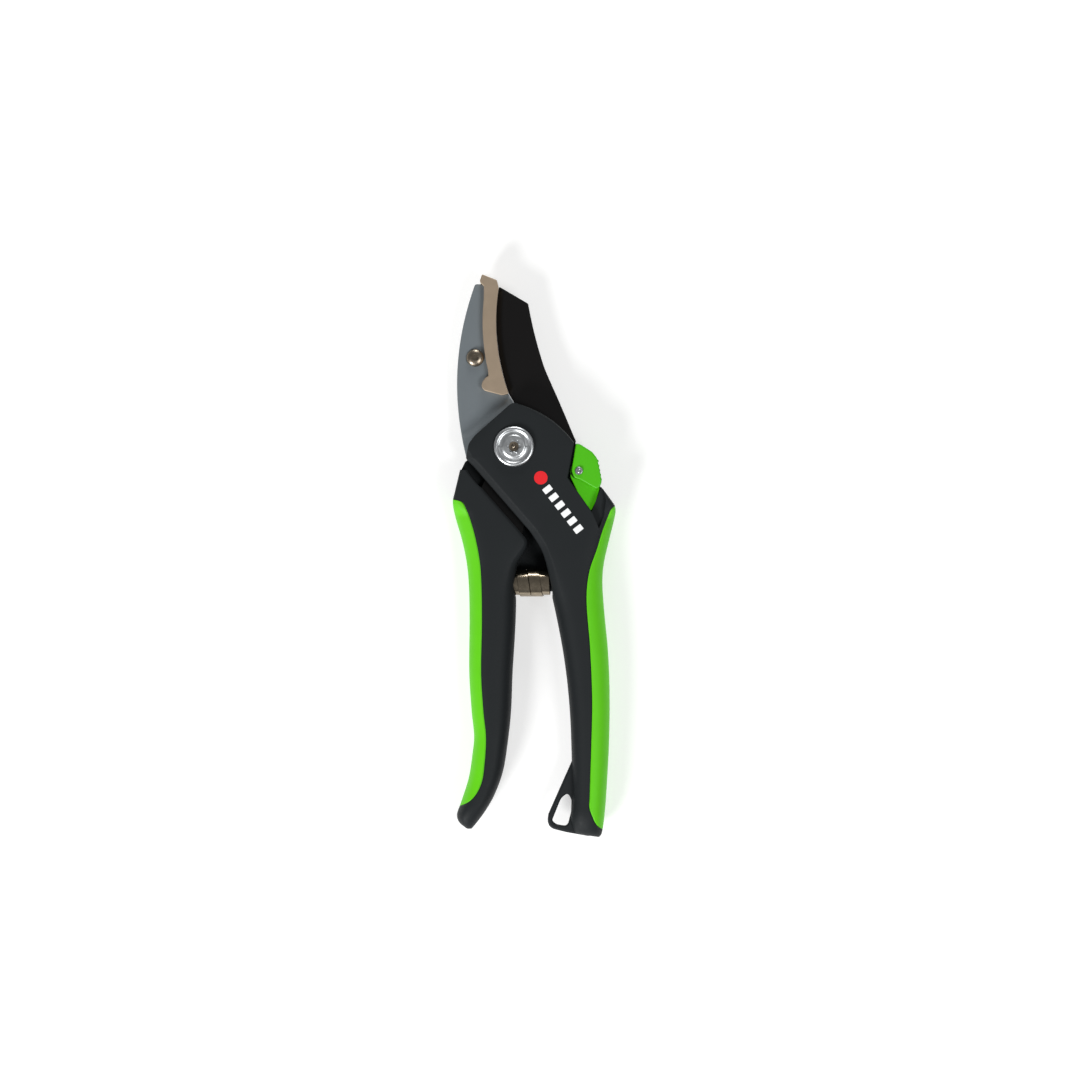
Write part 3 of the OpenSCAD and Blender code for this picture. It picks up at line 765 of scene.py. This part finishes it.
def blade(width, depth):
    """Coated blade, ground on both faces to the edge that lands on the anvil."""
    plate = slab("blade_plate", blade_outline(), Z_BLADE, Z_BLADE_TOP, blade_grind(width, depth))
    carve(plate, [prism(circle([0, 0], HUB_RADIUS, 96), Z_BLADE, Z_BLADE_TOP)], "UNION")
    carve(plate, [prism(circle([0, 0], BUSH_BORE), 0, Z_TOP)])
    return plate


# -------- pivot, lock, spring and print

SOCKET_DEPTH = 1.5


def pivot_bolt(recess):
    """Flanged bolt with a raised rim, a shallow dish and a six-lobe socket in its middle."""
    top = level("pivot_bolt", 1)
    profile = [(0, 0.7), (3.2, 0.7), (3.5, 1), (3.5, Z_TOP), (7.2, Z_TOP), (7.45, Z_TOP + 0.12),
               (7.5, Z_TOP + 0.4), (7.42, top - 0.55), (7.2, top - 0.25), (6.88, top - 0.07),
               (6.5, top), (6.2, top - 0.07), (5.98, top - 0.25), (5.75, top - 0.44), (5.4, top - 0.5),
               (4.7, top - 0.46), (4.35, top - 0.36), (4.1, top - 0.14), (3.8, top - 0.03),
               (3.5, top), (0, top)]
    bolt = lathe("pivot_bolt_head", profile, (0, 0))
    cuts = [opening(six_lobe([0, 0], recess), top - SOCKET_DEPTH, top, 0.16)]
    for side in (-1, 1):
        slot = [[side * 4.3, -0.35], [side * 5.9, -0.35], [side * 5.9, 0.35], [side * 4.3, 0.35]]
        cuts.append(opening(slot, top - 0.75, top, 0.08))
    carve(bolt, cuts)
    return bolt


def bolt_centre(recess):
    """Drilled end of the bolt's core, seen at the bottom of the socket."""
    floor, r = level("pivot_bolt", 1) - SOCKET_DEPTH, 0.7 * recess
    steps = ((0, -0.1), (r, -0.1), (r, 0.15), (r - 0.5, 0.1), (0.9, 0.1), (0.7, 0.3), (0.6, 0.8),
             (0.4, 0.95), (0, 1))
    return lathe("pivot_bolt_centre", [(out, floor + up) for out, up in steps], (0, 0), n=48)


def anvil_screw():
    """Domed screw beside the anvil, with a six-lobe socket."""
    seat = Z_BLADE + SHEET
    profile = [(0, 1.2), (1.9, 1.2), (1.9, seat), (3.15, seat), (3.3, seat + 0.12), (3.26, seat + 0.5),
               (3.05, seat + 0.92), (2.65, seat + 1.3), (2.1, seat + 1.57), (1.4, seat + 1.74),
               (0, seat + 1.8)]
    screw = lathe("anvil_screw_head", profile, ANVIL_SCREW_AT, n=64)
    carve(screw, [opening(six_lobe(ANVIL_SCREW_AT, 1.35), seat + 0.7, seat + 1.75, 0.08)])
    return screw


LEVER_TAIL = [[22.8, -1], [21, -11], [24, -17.4], [28.7, -23.8], [30.4, -20.4], [31.9, -15.4],
              [28, -8]]
LEVER_THUMB = [[23, 1.2], [24.5, 1], [29, -1.9], [30.9, -4.2], [31.9, -8.6], [32.7, -12.9],
               [32, -14.9], [30.9, -15.9], [24.4, -12.2], [22.4, -11.7], [21.4, -9]]
LEVER_BOSS = 3.2
LEVER_NOSE = [[23, 0.9], [24.4, 0.8], [27.4, -1.2], [27.4, -5.4], [23, -5.4]]


def lock_lever():
    """Thumb lever with ribs, a thin tail under it and a nose in front of the blade's heel."""
    low, high = Z_FRONT - SHEET, level("lock_lever", 1)
    lever = slab("lock_lever_thumb", round_corners(LEVER_THUMB, 0.9), low, high, 0.6, steps=4)
    nose = prism(LEVER_NOSE, Z_BLADE, low)
    carve(nose, [prism(circle([0, 0], hypot(*BLADE_HEEL) + 0.4, 128), 0, Z_TOP)])
    parts = [prism(circle(LOCK_AT, LEVER_BOSS), low, low + 3), nose]
    parts += [prism(circle([30.8 + 0.3 * i, -5.4 - 1.7 * i], 0.7, 20), low + 0.6, high - 0.6)
              for i in range(5)]
    carve(lever, parts, "UNION")
    tail = slab("lock_lever_tail", round_corners(LEVER_TAIL, 0.7), low, low + 2.4, 0.25)
    carve(tail, [prism(LEVER_THUMB, 0, Z_TOP + 2), prism(circle(LOCK_AT, LEVER_BOSS), 0, Z_TOP + 2),
                 prism(LEVER_NOSE, 0, Z_TOP)])
    carve(lever, [opening(circle(LOCK_AT, 1.15, 40), low, high, 0.2)])
    return lever, tail


def lock_pin():
    """Riveted pin of the lock, with a dimple in its head."""
    top = level("lock_pin", 1)
    profile = [(0, 0.8), (1.1, 0.8), (1.1, Z_CHEEK), (1.8, Z_CHEEK), (1.8, Z_FRONT - 2.9),
               (1.1, Z_FRONT - 2.9), (1.1, top - 0.6), (1.45, top - 0.6), (1.5, top - 0.5),
               (1.46, top - 0.2), (1.3, top - 0.04), (1.1, top), (0.75, top - 0.03),
               (0.55, top - 0.18), (0.4, top - 0.32), (0, top - 0.36)]
    return lathe("lock_pin_head", profile, LOCK_AT, n=48)


SPRING_START, SPRING_END = -1.0, 14.4
SPRING_TURNS = 4
SPRING_MIDDLE = 10.8
SPRING_TIPS = 8.6
STRIP = (4.2, 0.4)


def volute_spring(middle_d, end_d):
    """Steel strip wound as two cones that meet at their wide ends."""
    width, thick = STRIP
    per_turn, corner = 60, 0.1
    count = SPRING_TURNS * per_turn
    run = SPRING_END - SPRING_START - width - 0.4
    middle = 0.22
    steep = SPRING_TURNS * (width + 0.15)
    gentle = (run - 2 * middle * steep) / (1 - 2 * middle)
    corners = [(corner, 0), (width - corner, 0), (width, corner), (width, thick - corner),
               (width - corner, thick), (corner, thick), (0, thick - corner), (0, corner)]
    rings = []
    for i in range(count + 1):
        f = i / count - 0.5
        a = 2 * pi * i / per_turn
        near = min(abs(f), middle)
        r = middle_d / 2 - (middle_d - end_d) * abs(f)
        x = SPRING_START + 0.2 + run / 2
        x += (1 if f > 0 else -1) * (near * steep + (abs(f) - near) * gentle)
        rings += [(x + u, SPRING_Y + (r - v) * cos(a), Z_MID + (r - v) * sin(a)) for u, v in corners]
    spring = mesh_object("volute_strip", rings, ring_faces(count + 1, len(corners)))
    tidy_mesh(spring)
    return spring


def printed(name, outline):
    """A film of ink on the fork's face."""
    return slab(name, outline, Z_TOP - 0.02, Z_TOP + 0.03, 0.01)


DOT_AT = (10, -11.6)
PRINT_FROM = np.array([12.5, -15.9])
PRINT_TO = np.array([23.9, -30.6])
PRINT_BARS = 6


def print_bars(height):
    """Plain bars in a row down the fork."""
    run = PRINT_TO - PRINT_FROM
    ahead = run / hypot(*run)
    across = np.array([-ahead[1], ahead[0]])
    pitch = hypot(*run) / (PRINT_BARS - 1)
    bars = []
    for i in range(PRINT_BARS):
        at = PRINT_FROM + ahead * pitch * i
        half = (0.3 * pitch, height / 2)
        corners = [at + u * half[0] * ahead + v * half[1] * across
                   for u, v in ((-1, -1), (1, -1), (1, 1), (-1, 1))]
        bars.append(printed(f"print_bar_{i + 1}", round_corners(corners, 0.25)))
    return bars


# -------- finishes

def linear(hex_text):
    """Linear colour of an sRGB hex value."""
    values = [int(hex_text[i:i + 2], 16) / 255 for i in (1, 3, 5)]
    return [v / 12.92 if v <= 0.04045 else ((v + 0.055) / 1.055) ** 2.4 for v in values]


def add_node(material, kind, settings=None, inputs=None):
    """Adds a node, with its settings and with its inputs as values or links."""
    made = material.node_tree.nodes.new(kind)
    for key, value in (settings or {}).items():
        setattr(made, key, value)
    for key, value in (inputs or {}).items():
        if isinstance(value, bpy.types.NodeSocket):
            material.node_tree.links.new(value, made.inputs[key])
        else:
            made.inputs[key].default_value = value
    return made


def grain(size_mm):
    """Noise scale whose features are about size_mm across."""
    return 1 / (size_mm * MM)


def surface_finish(name, colour, spread, patch_mm, grain_mm, grain_depth_mm, rough, shader):
    """A material with slow changes of tone, a fine relief, and roughness that follows the relief.

    spread is how far the tone wanders from the colour, rough the least and greatest roughness. The
    real reliefs are a few hundredths of a millimetre across and would be too fine to show, so they
    are drawn coarser here, at grain_mm.
    """
    material = bpy.data.materials.new(name)
    material.use_nodes = True
    material.node_tree.nodes.clear()
    place_on = add_node(material, "ShaderNodeTexCoord").outputs["Object"]
    patches = add_node(material, "ShaderNodeTexNoise", None,
                       {"Vector": place_on, "Scale": grain(patch_mm), "Detail": 3})
    dark = [c * (1 - spread) for c in colour] + [1]
    light = [c * (1 + spread) for c in colour] + [1]
    tone = add_node(material, "ShaderNodeMix", {"data_type": "RGBA"},
                    {0: patches.outputs["Fac"], 6: dark, 7: light})
    relief = add_node(material, "ShaderNodeTexNoise", None,
                      {"Vector": place_on, "Scale": grain(grain_mm), "Detail": 4, "Roughness": 0.6})
    bump = add_node(material, "ShaderNodeBump", None,
                    {"Distance": grain_depth_mm * MM, "Height": relief.outputs["Fac"]})
    gloss = add_node(material, "ShaderNodeMapRange", None,
                     {"Value": relief.outputs["Fac"], "From Min": 0.3, "From Max": 0.7,
                      "To Min": rough[0], "To Max": rough[1]})
    inputs = {"Base Color": tone.outputs[2], "Roughness": gloss.outputs["Result"],
              "Normal": bump.outputs["Normal"], **shader}
    body = add_node(material, "ShaderNodeBsdfPrincipled", None, inputs)
    add_node(material, "ShaderNodeOutputMaterial", None, {"Surface": body.outputs["BSDF"]})
    material.diffuse_color = [*colour, 1]
    return material


def colours():
    """The colours set in the panel."""
    return bpy.context.scene.shears_colours


def sizes():
    """The sizes set in the panel, in metres."""
    return bpy.context.scene.shears_sizes


def glass_filled_nylon():
    """Moulded glass-filled nylon: near black, with the fine matt bloom of a spark-eroded mould."""
    return surface_finish("Glass-filled nylon, spark-eroded", colours().nylon, 0.08, 9, 0.5, 0.02,
                          (0.55, 0.7), {"IOR": 1.53, "Specular IOR Level": 0.2})


def soft_elastomer():
    """Overmoulded thermoplastic elastomer: saturated and satin, with hardly any shine."""
    return surface_finish("Thermoplastic elastomer, satin", colours().grip, 0.05, 7, 0.45, 0.015,
                          (0.5, 0.64), {"IOR": 1.5, "Specular IOR Level": 0.25})


def acetal(name, painted_glow):
    """Moulded acetal: harder and a little glossier than the grips, so its edges catch the light.

    painted_glow is painted light: a little light of the piece's own, so that a part lying deep in the
    handle's shade stays bright.
    """
    # Any emission here is painted light, which keeps a part in the handle's shade bright
    return surface_finish(name, colours().lever, 0.04, 6, 0.6, 0.008, (0.36, 0.48),
                          {"IOR": 1.48, "Specular IOR Level": 0.35,
                           "Emission Color": (*colours().lever, 1), "Emission Strength": painted_glow})


def painted_steel():
    """Grey stoved enamel on pressed steel: smooth and satin, with a very slight orange peel."""
    return surface_finish("Stoved enamel on pressed steel", colours().jaw, 0.05, 14, 1.2, 0.012,
                          (0.36, 0.46), {"IOR": 1.5, "Metallic": 0.15, "Specular IOR Level": 0.4})


def cast_bronze():
    """Cast and tumbled bronze: a dull tan metal whose small pits break up the reflections."""
    return surface_finish("Bronze, cast and tumbled", colours().anvil, 0.1, 5, 0.35, 0.02,
                          (0.42, 0.6), {"Metallic": 0.7})


def fluoropolymer_coat():
    """Baked fluoropolymer on steel: black with a faint warm cast and a soft grease-like gloss."""
    return surface_finish("Fluoropolymer coat on steel", colours().blade, 0.1, 12, 0.4, 0.006,
                          (0.28, 0.38), {"IOR": 1.38})


def bright_plate():
    """Bright nickel plate over turned steel: bright, softened by the turning marks under it."""
    return surface_finish("Bright nickel plate", colours().plate, 0.04, 4, 1.4, 0.006, (0.3, 0.4),
                          {"Metallic": 1})


def zinc_plate():
    """Clear zinc plate: a cool grey metal, brushed-looking and half dull."""
    return surface_finish("Clear zinc plate", colours().zinc, 0.08, 3, 0.3, 0.006, (0.26, 0.4),
                          {"Metallic": 1})


def yellow_zinc():
    """Yellow-passivated zinc: a warm, slightly iridescent metal."""
    return surface_finish("Yellow zinc chromate", linear("#94897a"), 0.1, 1.5, 0.3, 0.006, (0.25, 0.4),
                          {"Metallic": 1})


def oiled_spring_steel():
    """Oil-tempered strip: warm brown-grey scale under oil, brighter where the turns rub."""
    return surface_finish("Spring steel, oil tempered", colours().spring, 0.35, 1.6, 0.25, 0.006,
                          (0.15, 0.27), {"Metallic": 1})


def sintered_bronze():
    """Sintered bronze: matt and open-grained, with oil in its pores."""
    return surface_finish("Sintered bronze", linear("#8a6a45"), 0.15, 1, 0.2, 0.02, (0.5, 0.7),
                          {"Metallic": 0.9})


def pad_print_ink(name, colour, spread):
    """Pad-printed ink: flat and even, a little thinner in patches."""
    return surface_finish(name, colour, spread, 1.5, 0.3, 0.003, (0.4, 0.52), {"IOR": 1.5})


def pale_floor():
    """Matt white board for the floor, with a little light of its own so that shadows stay faint."""
    return surface_finish("Matt white board", linear("#cfcfce"), 0.004, 60, 2, 0.01, (0.85, 0.95),
                          {"IOR": 1.4, "Specular IOR Level": 0.1, "Emission Color": (1, 1, 1, 1),
                           "Emission Strength": 0.5})


def coat_node(name, material):
    """Gives a carried-over CAD node its material."""
    coat(frame["nodes"][name], material)


# -------- settings

class ShearsSizes(bpy.types.PropertyGroup):
    """Sizes of the details that the frame doesn't fix."""

    fork_bevel: FloatProperty(
        name="Fork Bevel",
        description="Width of the bevel down the inner edge of the fixed handle",
        default=0.0024, min=0.0006, max=0.004, subtype="DISTANCE", unit="LENGTH")
    grind_width: FloatProperty(
        name="Grind Width",
        description="Width of the ground bevel along the blade's cutting edge",
        default=0.0022, min=0.0008, max=0.004, subtype="DISTANCE", unit="LENGTH")
    grind_depth: FloatProperty(
        name="Grind Depth",
        description="How much each face of the blade is ground away at its cutting edge",
        default=0.00115, min=0.0004, max=0.00125, subtype="DISTANCE", unit="LENGTH")
    anvil_thickness: FloatProperty(
        name="Anvil Thickness",
        description="Thickness of the anvil behind its face",
        default=0.0051, min=0.0043, max=0.0055, subtype="DISTANCE", unit="LENGTH")
    socket_radius: FloatProperty(
        name="Socket Radius",
        description="Radius of the six-lobe socket in the pivot bolt",
        default=0.0026, min=0.0015, max=0.003, subtype="DISTANCE", unit="LENGTH")
    dot_diameter: FloatProperty(
        name="Dot Diameter",
        description="Diameter of the printed dot on the fork",
        default=0.005, min=0.003, max=0.006, subtype="DISTANCE", unit="LENGTH")
    bar_height: FloatProperty(
        name="Bar Height",
        description="Length of the printed bars on the fork",
        default=0.0034, min=0.002, max=0.005, subtype="DISTANCE", unit="LENGTH")


def colour_setting(label, description, hex_text):
    """A colour in the panel, from an sRGB hex value."""
    return FloatVectorProperty(name=label, description=description, subtype="COLOR", size=3,
                               min=0, max=1, default=linear(hex_text))


class ShearsColours(bpy.types.PropertyGroup):
    """Colours of the finishes."""

    nylon: colour_setting("Handle", "Colour of the moulded handles", "#181c1e")
    grip: colour_setting("Grip", "Colour of the soft grips", "#5cc406")
    lever: colour_setting("Lever", "Colour of the lock lever", "#4ab608")
    jaw: colour_setting("Jaw Plate", "Colour of the enamelled jaw plate", "#6f767a")
    anvil: colour_setting("Anvil", "Colour of the bronze anvil", "#ac9a85")
    blade: colour_setting("Blade", "Colour of the blade's coat", "#0b0909")
    plate: colour_setting("Bright Plate", "Colour of the pivot bolt", "#d3d6d8")
    zinc: colour_setting("Zinc Plate", "Colour of the screws, nuts and washers", "#bcbfc2")
    spring: colour_setting("Spring", "Colour of the return spring's strip", "#a09481")
    dot: colour_setting("Printed Dot", "Colour of the printed dot", "#e0141e")


# -------- operators

class SHEARS_OT_fixed_handle(bpy.types.Operator):
    """Build the handle with the fork and hanging loop, its soft grip and its printed mark"""

    bl_idname = "shears.fixed_handle"
    bl_label = "Fixed Handle"

    def execute(self, context):
        core, grip = fixed_handle(sizes().fork_bevel / MM)
        place(core, glass_filled_nylon(), FIXED_SIDE, "black_nylon", "anvil_handle")
        place(grip, soft_elastomer(), FIXED_SIDE, "green_grip", "anvil_handle_grip")
        dot = printed("print_dot", circle(DOT_AT, sizes().dot_diameter / MM / 2))
        red = pad_print_ink("Pad-print ink, red", colours().dot, 0.06)
        place(dot, red, FIXED_SIDE, "black_nylon")
        white = pad_print_ink("Pad-print ink, white", linear("#f4f5f5"), 0.04)
        for bar in print_bars(sizes().bar_height / MM):
            place(bar, white, FIXED_SIDE, "black_nylon")
        return {"FINISHED"}


class SHEARS_OT_moving_handle(bpy.types.Operator):
    """Build the handle that carries the blade, and its soft grip"""

    bl_idname = "shears.moving_handle"
    bl_label = "Moving Handle"

    def execute(self, context):
        core, grip = moving_handle()
        place(core, glass_filled_nylon(), MOVING_SIDE, "black_nylon", "blade_handle")
        place(grip, soft_elastomer(), MOVING_SIDE, "green_grip", "blade_handle_grip")
        coat_node("blade_screws", zinc_plate())
        return {"FINISHED"}


class SHEARS_OT_cutting_head(bpy.types.Operator):
    """Build the jaw plate, the anvil with its screw, and the blade"""

    bl_idname = "shears.cutting_head"
    bl_label = "Cutting Head"

    def execute(self, context):
        place(jaw_plate(JAW_EDGE), painted_steel(), FIXED_SIDE, "jaw_steel", "jaw_plate")
        strip = anvil(sizes().anvil_thickness / MM)
        place(strip, cast_bronze(), FIXED_SIDE, "anvil_bronze", "anvil_strip")
        zinc = zinc_plate()
        place(anvil_screw(), yellow_zinc(), FIXED_SIDE, "plated_screw", "anvil_screw")
        for name in ("anvil_nut", "jaw_screws"):
            coat_node(name, zinc)
        plate = blade(sizes().grind_width / MM, sizes().grind_depth / MM)
        place(plate, fluoropolymer_coat(), MOVING_SIDE, "coated_blade", "blade")
        return {"FINISHED"}


class SHEARS_OT_pivot(bpy.types.Operator):
    """Build the pivot bolt, and finish the nut, bush and washers on it"""

    bl_idname = "shears.pivot"
    bl_label = "Pivot"

    def execute(self, context):
        bolt = pivot_bolt(sizes().socket_radius / MM)
        place(bolt, bright_plate(), FIXED_SIDE, "bright_bolt", "pivot_bolt")
        centre = bolt_centre(sizes().socket_radius / MM)
        place(centre, yellow_zinc(), FIXED_SIDE, "bright_bolt")
        zinc = zinc_plate()
        for name in ("pivot_nut", "disc_spring", "front_washer", "back_washer", "lock_washer"):
            coat_node(name, zinc)
        coat_node("pivot_bush", sintered_bronze())
        return {"FINISHED"}


class SHEARS_OT_lock(bpy.types.Operator):
    """Build the thumb lever of the lock and the pin it turns on"""

    bl_idname = "shears.lock"
    bl_label = "Lock"

    def execute(self, context):
        lever, tail = lock_lever()
        place(lever, acetal("Acetal, moulded", 0), LOCK_SIDE, "lock_green", "lock_lever")
        # The tail's acetal glows with painted light, so it stays bright in the shade under the thumb
        # and the front cheek
        place(tail, acetal("Acetal, painted glow", 0.5), LOCK_SIDE, "lock_green")
        place(lock_pin(), zinc_plate(), FIXED_SIDE, "plated_screw", "lock_pin")
        return {"FINISHED"}


class SHEARS_OT_spring(bpy.types.Operator):
    """Build the volute spring that opens the handles"""

    bl_idname = "shears.spring"
    bl_label = "Return Spring"

    def execute(self, context):
        spring = volute_spring(SPRING_MIDDLE, SPRING_TIPS)
        coat(spring, oiled_spring_steel())
        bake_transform(spring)
        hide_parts("volute_spring")
        return {"FINISHED"}


# The camera and the lamps are placed in metres
AIM = Vector((9.7 * MM, -34.7 * MM, 0))
CAMERA_HEIGHT = 1.5
FRAME_WIDTH = 0.4028
FRAME_WIDTH_AT = 10 * MM
SENSOR_WIDTH = 36
FLOOR_HALF = 9000
LAMPS = (
    # name, direction to it (x, y, z), size, power
    ("far", (0.12, 1.0, 0.27), 0.45, 5.2),
    ("near", (-0.58, -0.78, 0.65), 0.45, 13),
    ("near_right", (0.55, -0.35, 0.95), 0.45, 5),
)


class SHEARS_OT_stage(bpy.types.Operator):
    """Set out the floor, the soft lights and the camera that looks straight down"""

    bl_idname = "shears.stage"
    bl_label = "Stage"

    def execute(self, context):
        scene = context.scene
        corners = [(x * FLOOR_HALF, y * FLOOR_HALF, -0.1)
                   for x, y in ((-1, -1), (1, -1), (1, 1), (-1, 1))]
        floor = mesh_object("floor", corners, [(0, 1, 2, 3)], pale_floor())
        world = bpy.data.worlds.new("Soft room")
        world.use_nodes = True
        sky = world.node_tree.nodes["Background"].inputs
        sky["Color"].default_value = (*linear("#f4f5f6"), 1)
        sky["Strength"].default_value = 0.2
        scene.world = world
        for name, direction, size, power in LAMPS:
            data = bpy.data.lights.new(name, "AREA")
            data.shape = "DISK"
            data.size = size
            data.energy = power
            lamp = bpy.data.objects.new(name, data)
            lamp.location = AIM + Vector(direction)
            lamp.rotation_euler = Vector(direction).to_track_quat("Z", "Y").to_euler()
            scene.collection.objects.link(lamp)
        lens = bpy.data.cameras.new("overhead")
        lens.sensor_width = SENSOR_WIDTH
        lens.lens = SENSOR_WIDTH * CAMERA_HEIGHT / FRAME_WIDTH
        lens.clip_start = 0.01
        camera = bpy.data.objects.new("overhead", lens)
        camera.location = AIM + Vector((0, 0, CAMERA_HEIGHT + FRAME_WIDTH_AT))
        scene.collection.objects.link(camera)
        scene.camera = camera
        scene.view_settings.view_transform = "Standard"
        return {"FINISHED"}


# -------- panel and start

class SHEARS_PT_panel(bpy.types.Panel):
    """Sizes, colours and the steps that build the shears"""

    bl_idname = "SHEARS_PT_panel"
    bl_label = "Pruning Shears"
    bl_space_type = "VIEW_3D"
    bl_region_type = "UI"
    bl_category = "Shears"

    def draw(self, context):
        column = self.layout.column()
        for group in (context.scene.shears_sizes, context.scene.shears_colours):
            for name in group.__annotations__:
                column.prop(group, name)
            column.separator()
        for step in STEPS:
            column.operator(step.bl_idname)


STEPS = (SHEARS_OT_stage, SHEARS_OT_fixed_handle, SHEARS_OT_moving_handle, SHEARS_OT_cutting_head,
         SHEARS_OT_pivot, SHEARS_OT_lock, SHEARS_OT_spring)
CLASSES = (ShearsSizes, ShearsColours, *STEPS, SHEARS_PT_panel)


def register():
    """Registers the classes and the settings."""
    for cls in CLASSES:
        bpy.utils.register_class(cls)
    bpy.types.Scene.shears_sizes = PointerProperty(type=ShearsSizes)
    bpy.types.Scene.shears_colours = PointerProperty(type=ShearsColours)


def unregister():
    """Removes what register added."""
    del bpy.types.Scene.shears_colours
    del bpy.types.Scene.shears_sizes
    for cls in reversed(CLASSES):
        bpy.utils.unregister_class(cls)


def main():
    """Builds everything in order."""
    register()
    for step in STEPS:
        area, name = step.bl_idname.split(".")
        getattr(getattr(bpy.ops, area), name)()


if __name__ == "__main__":
    main()
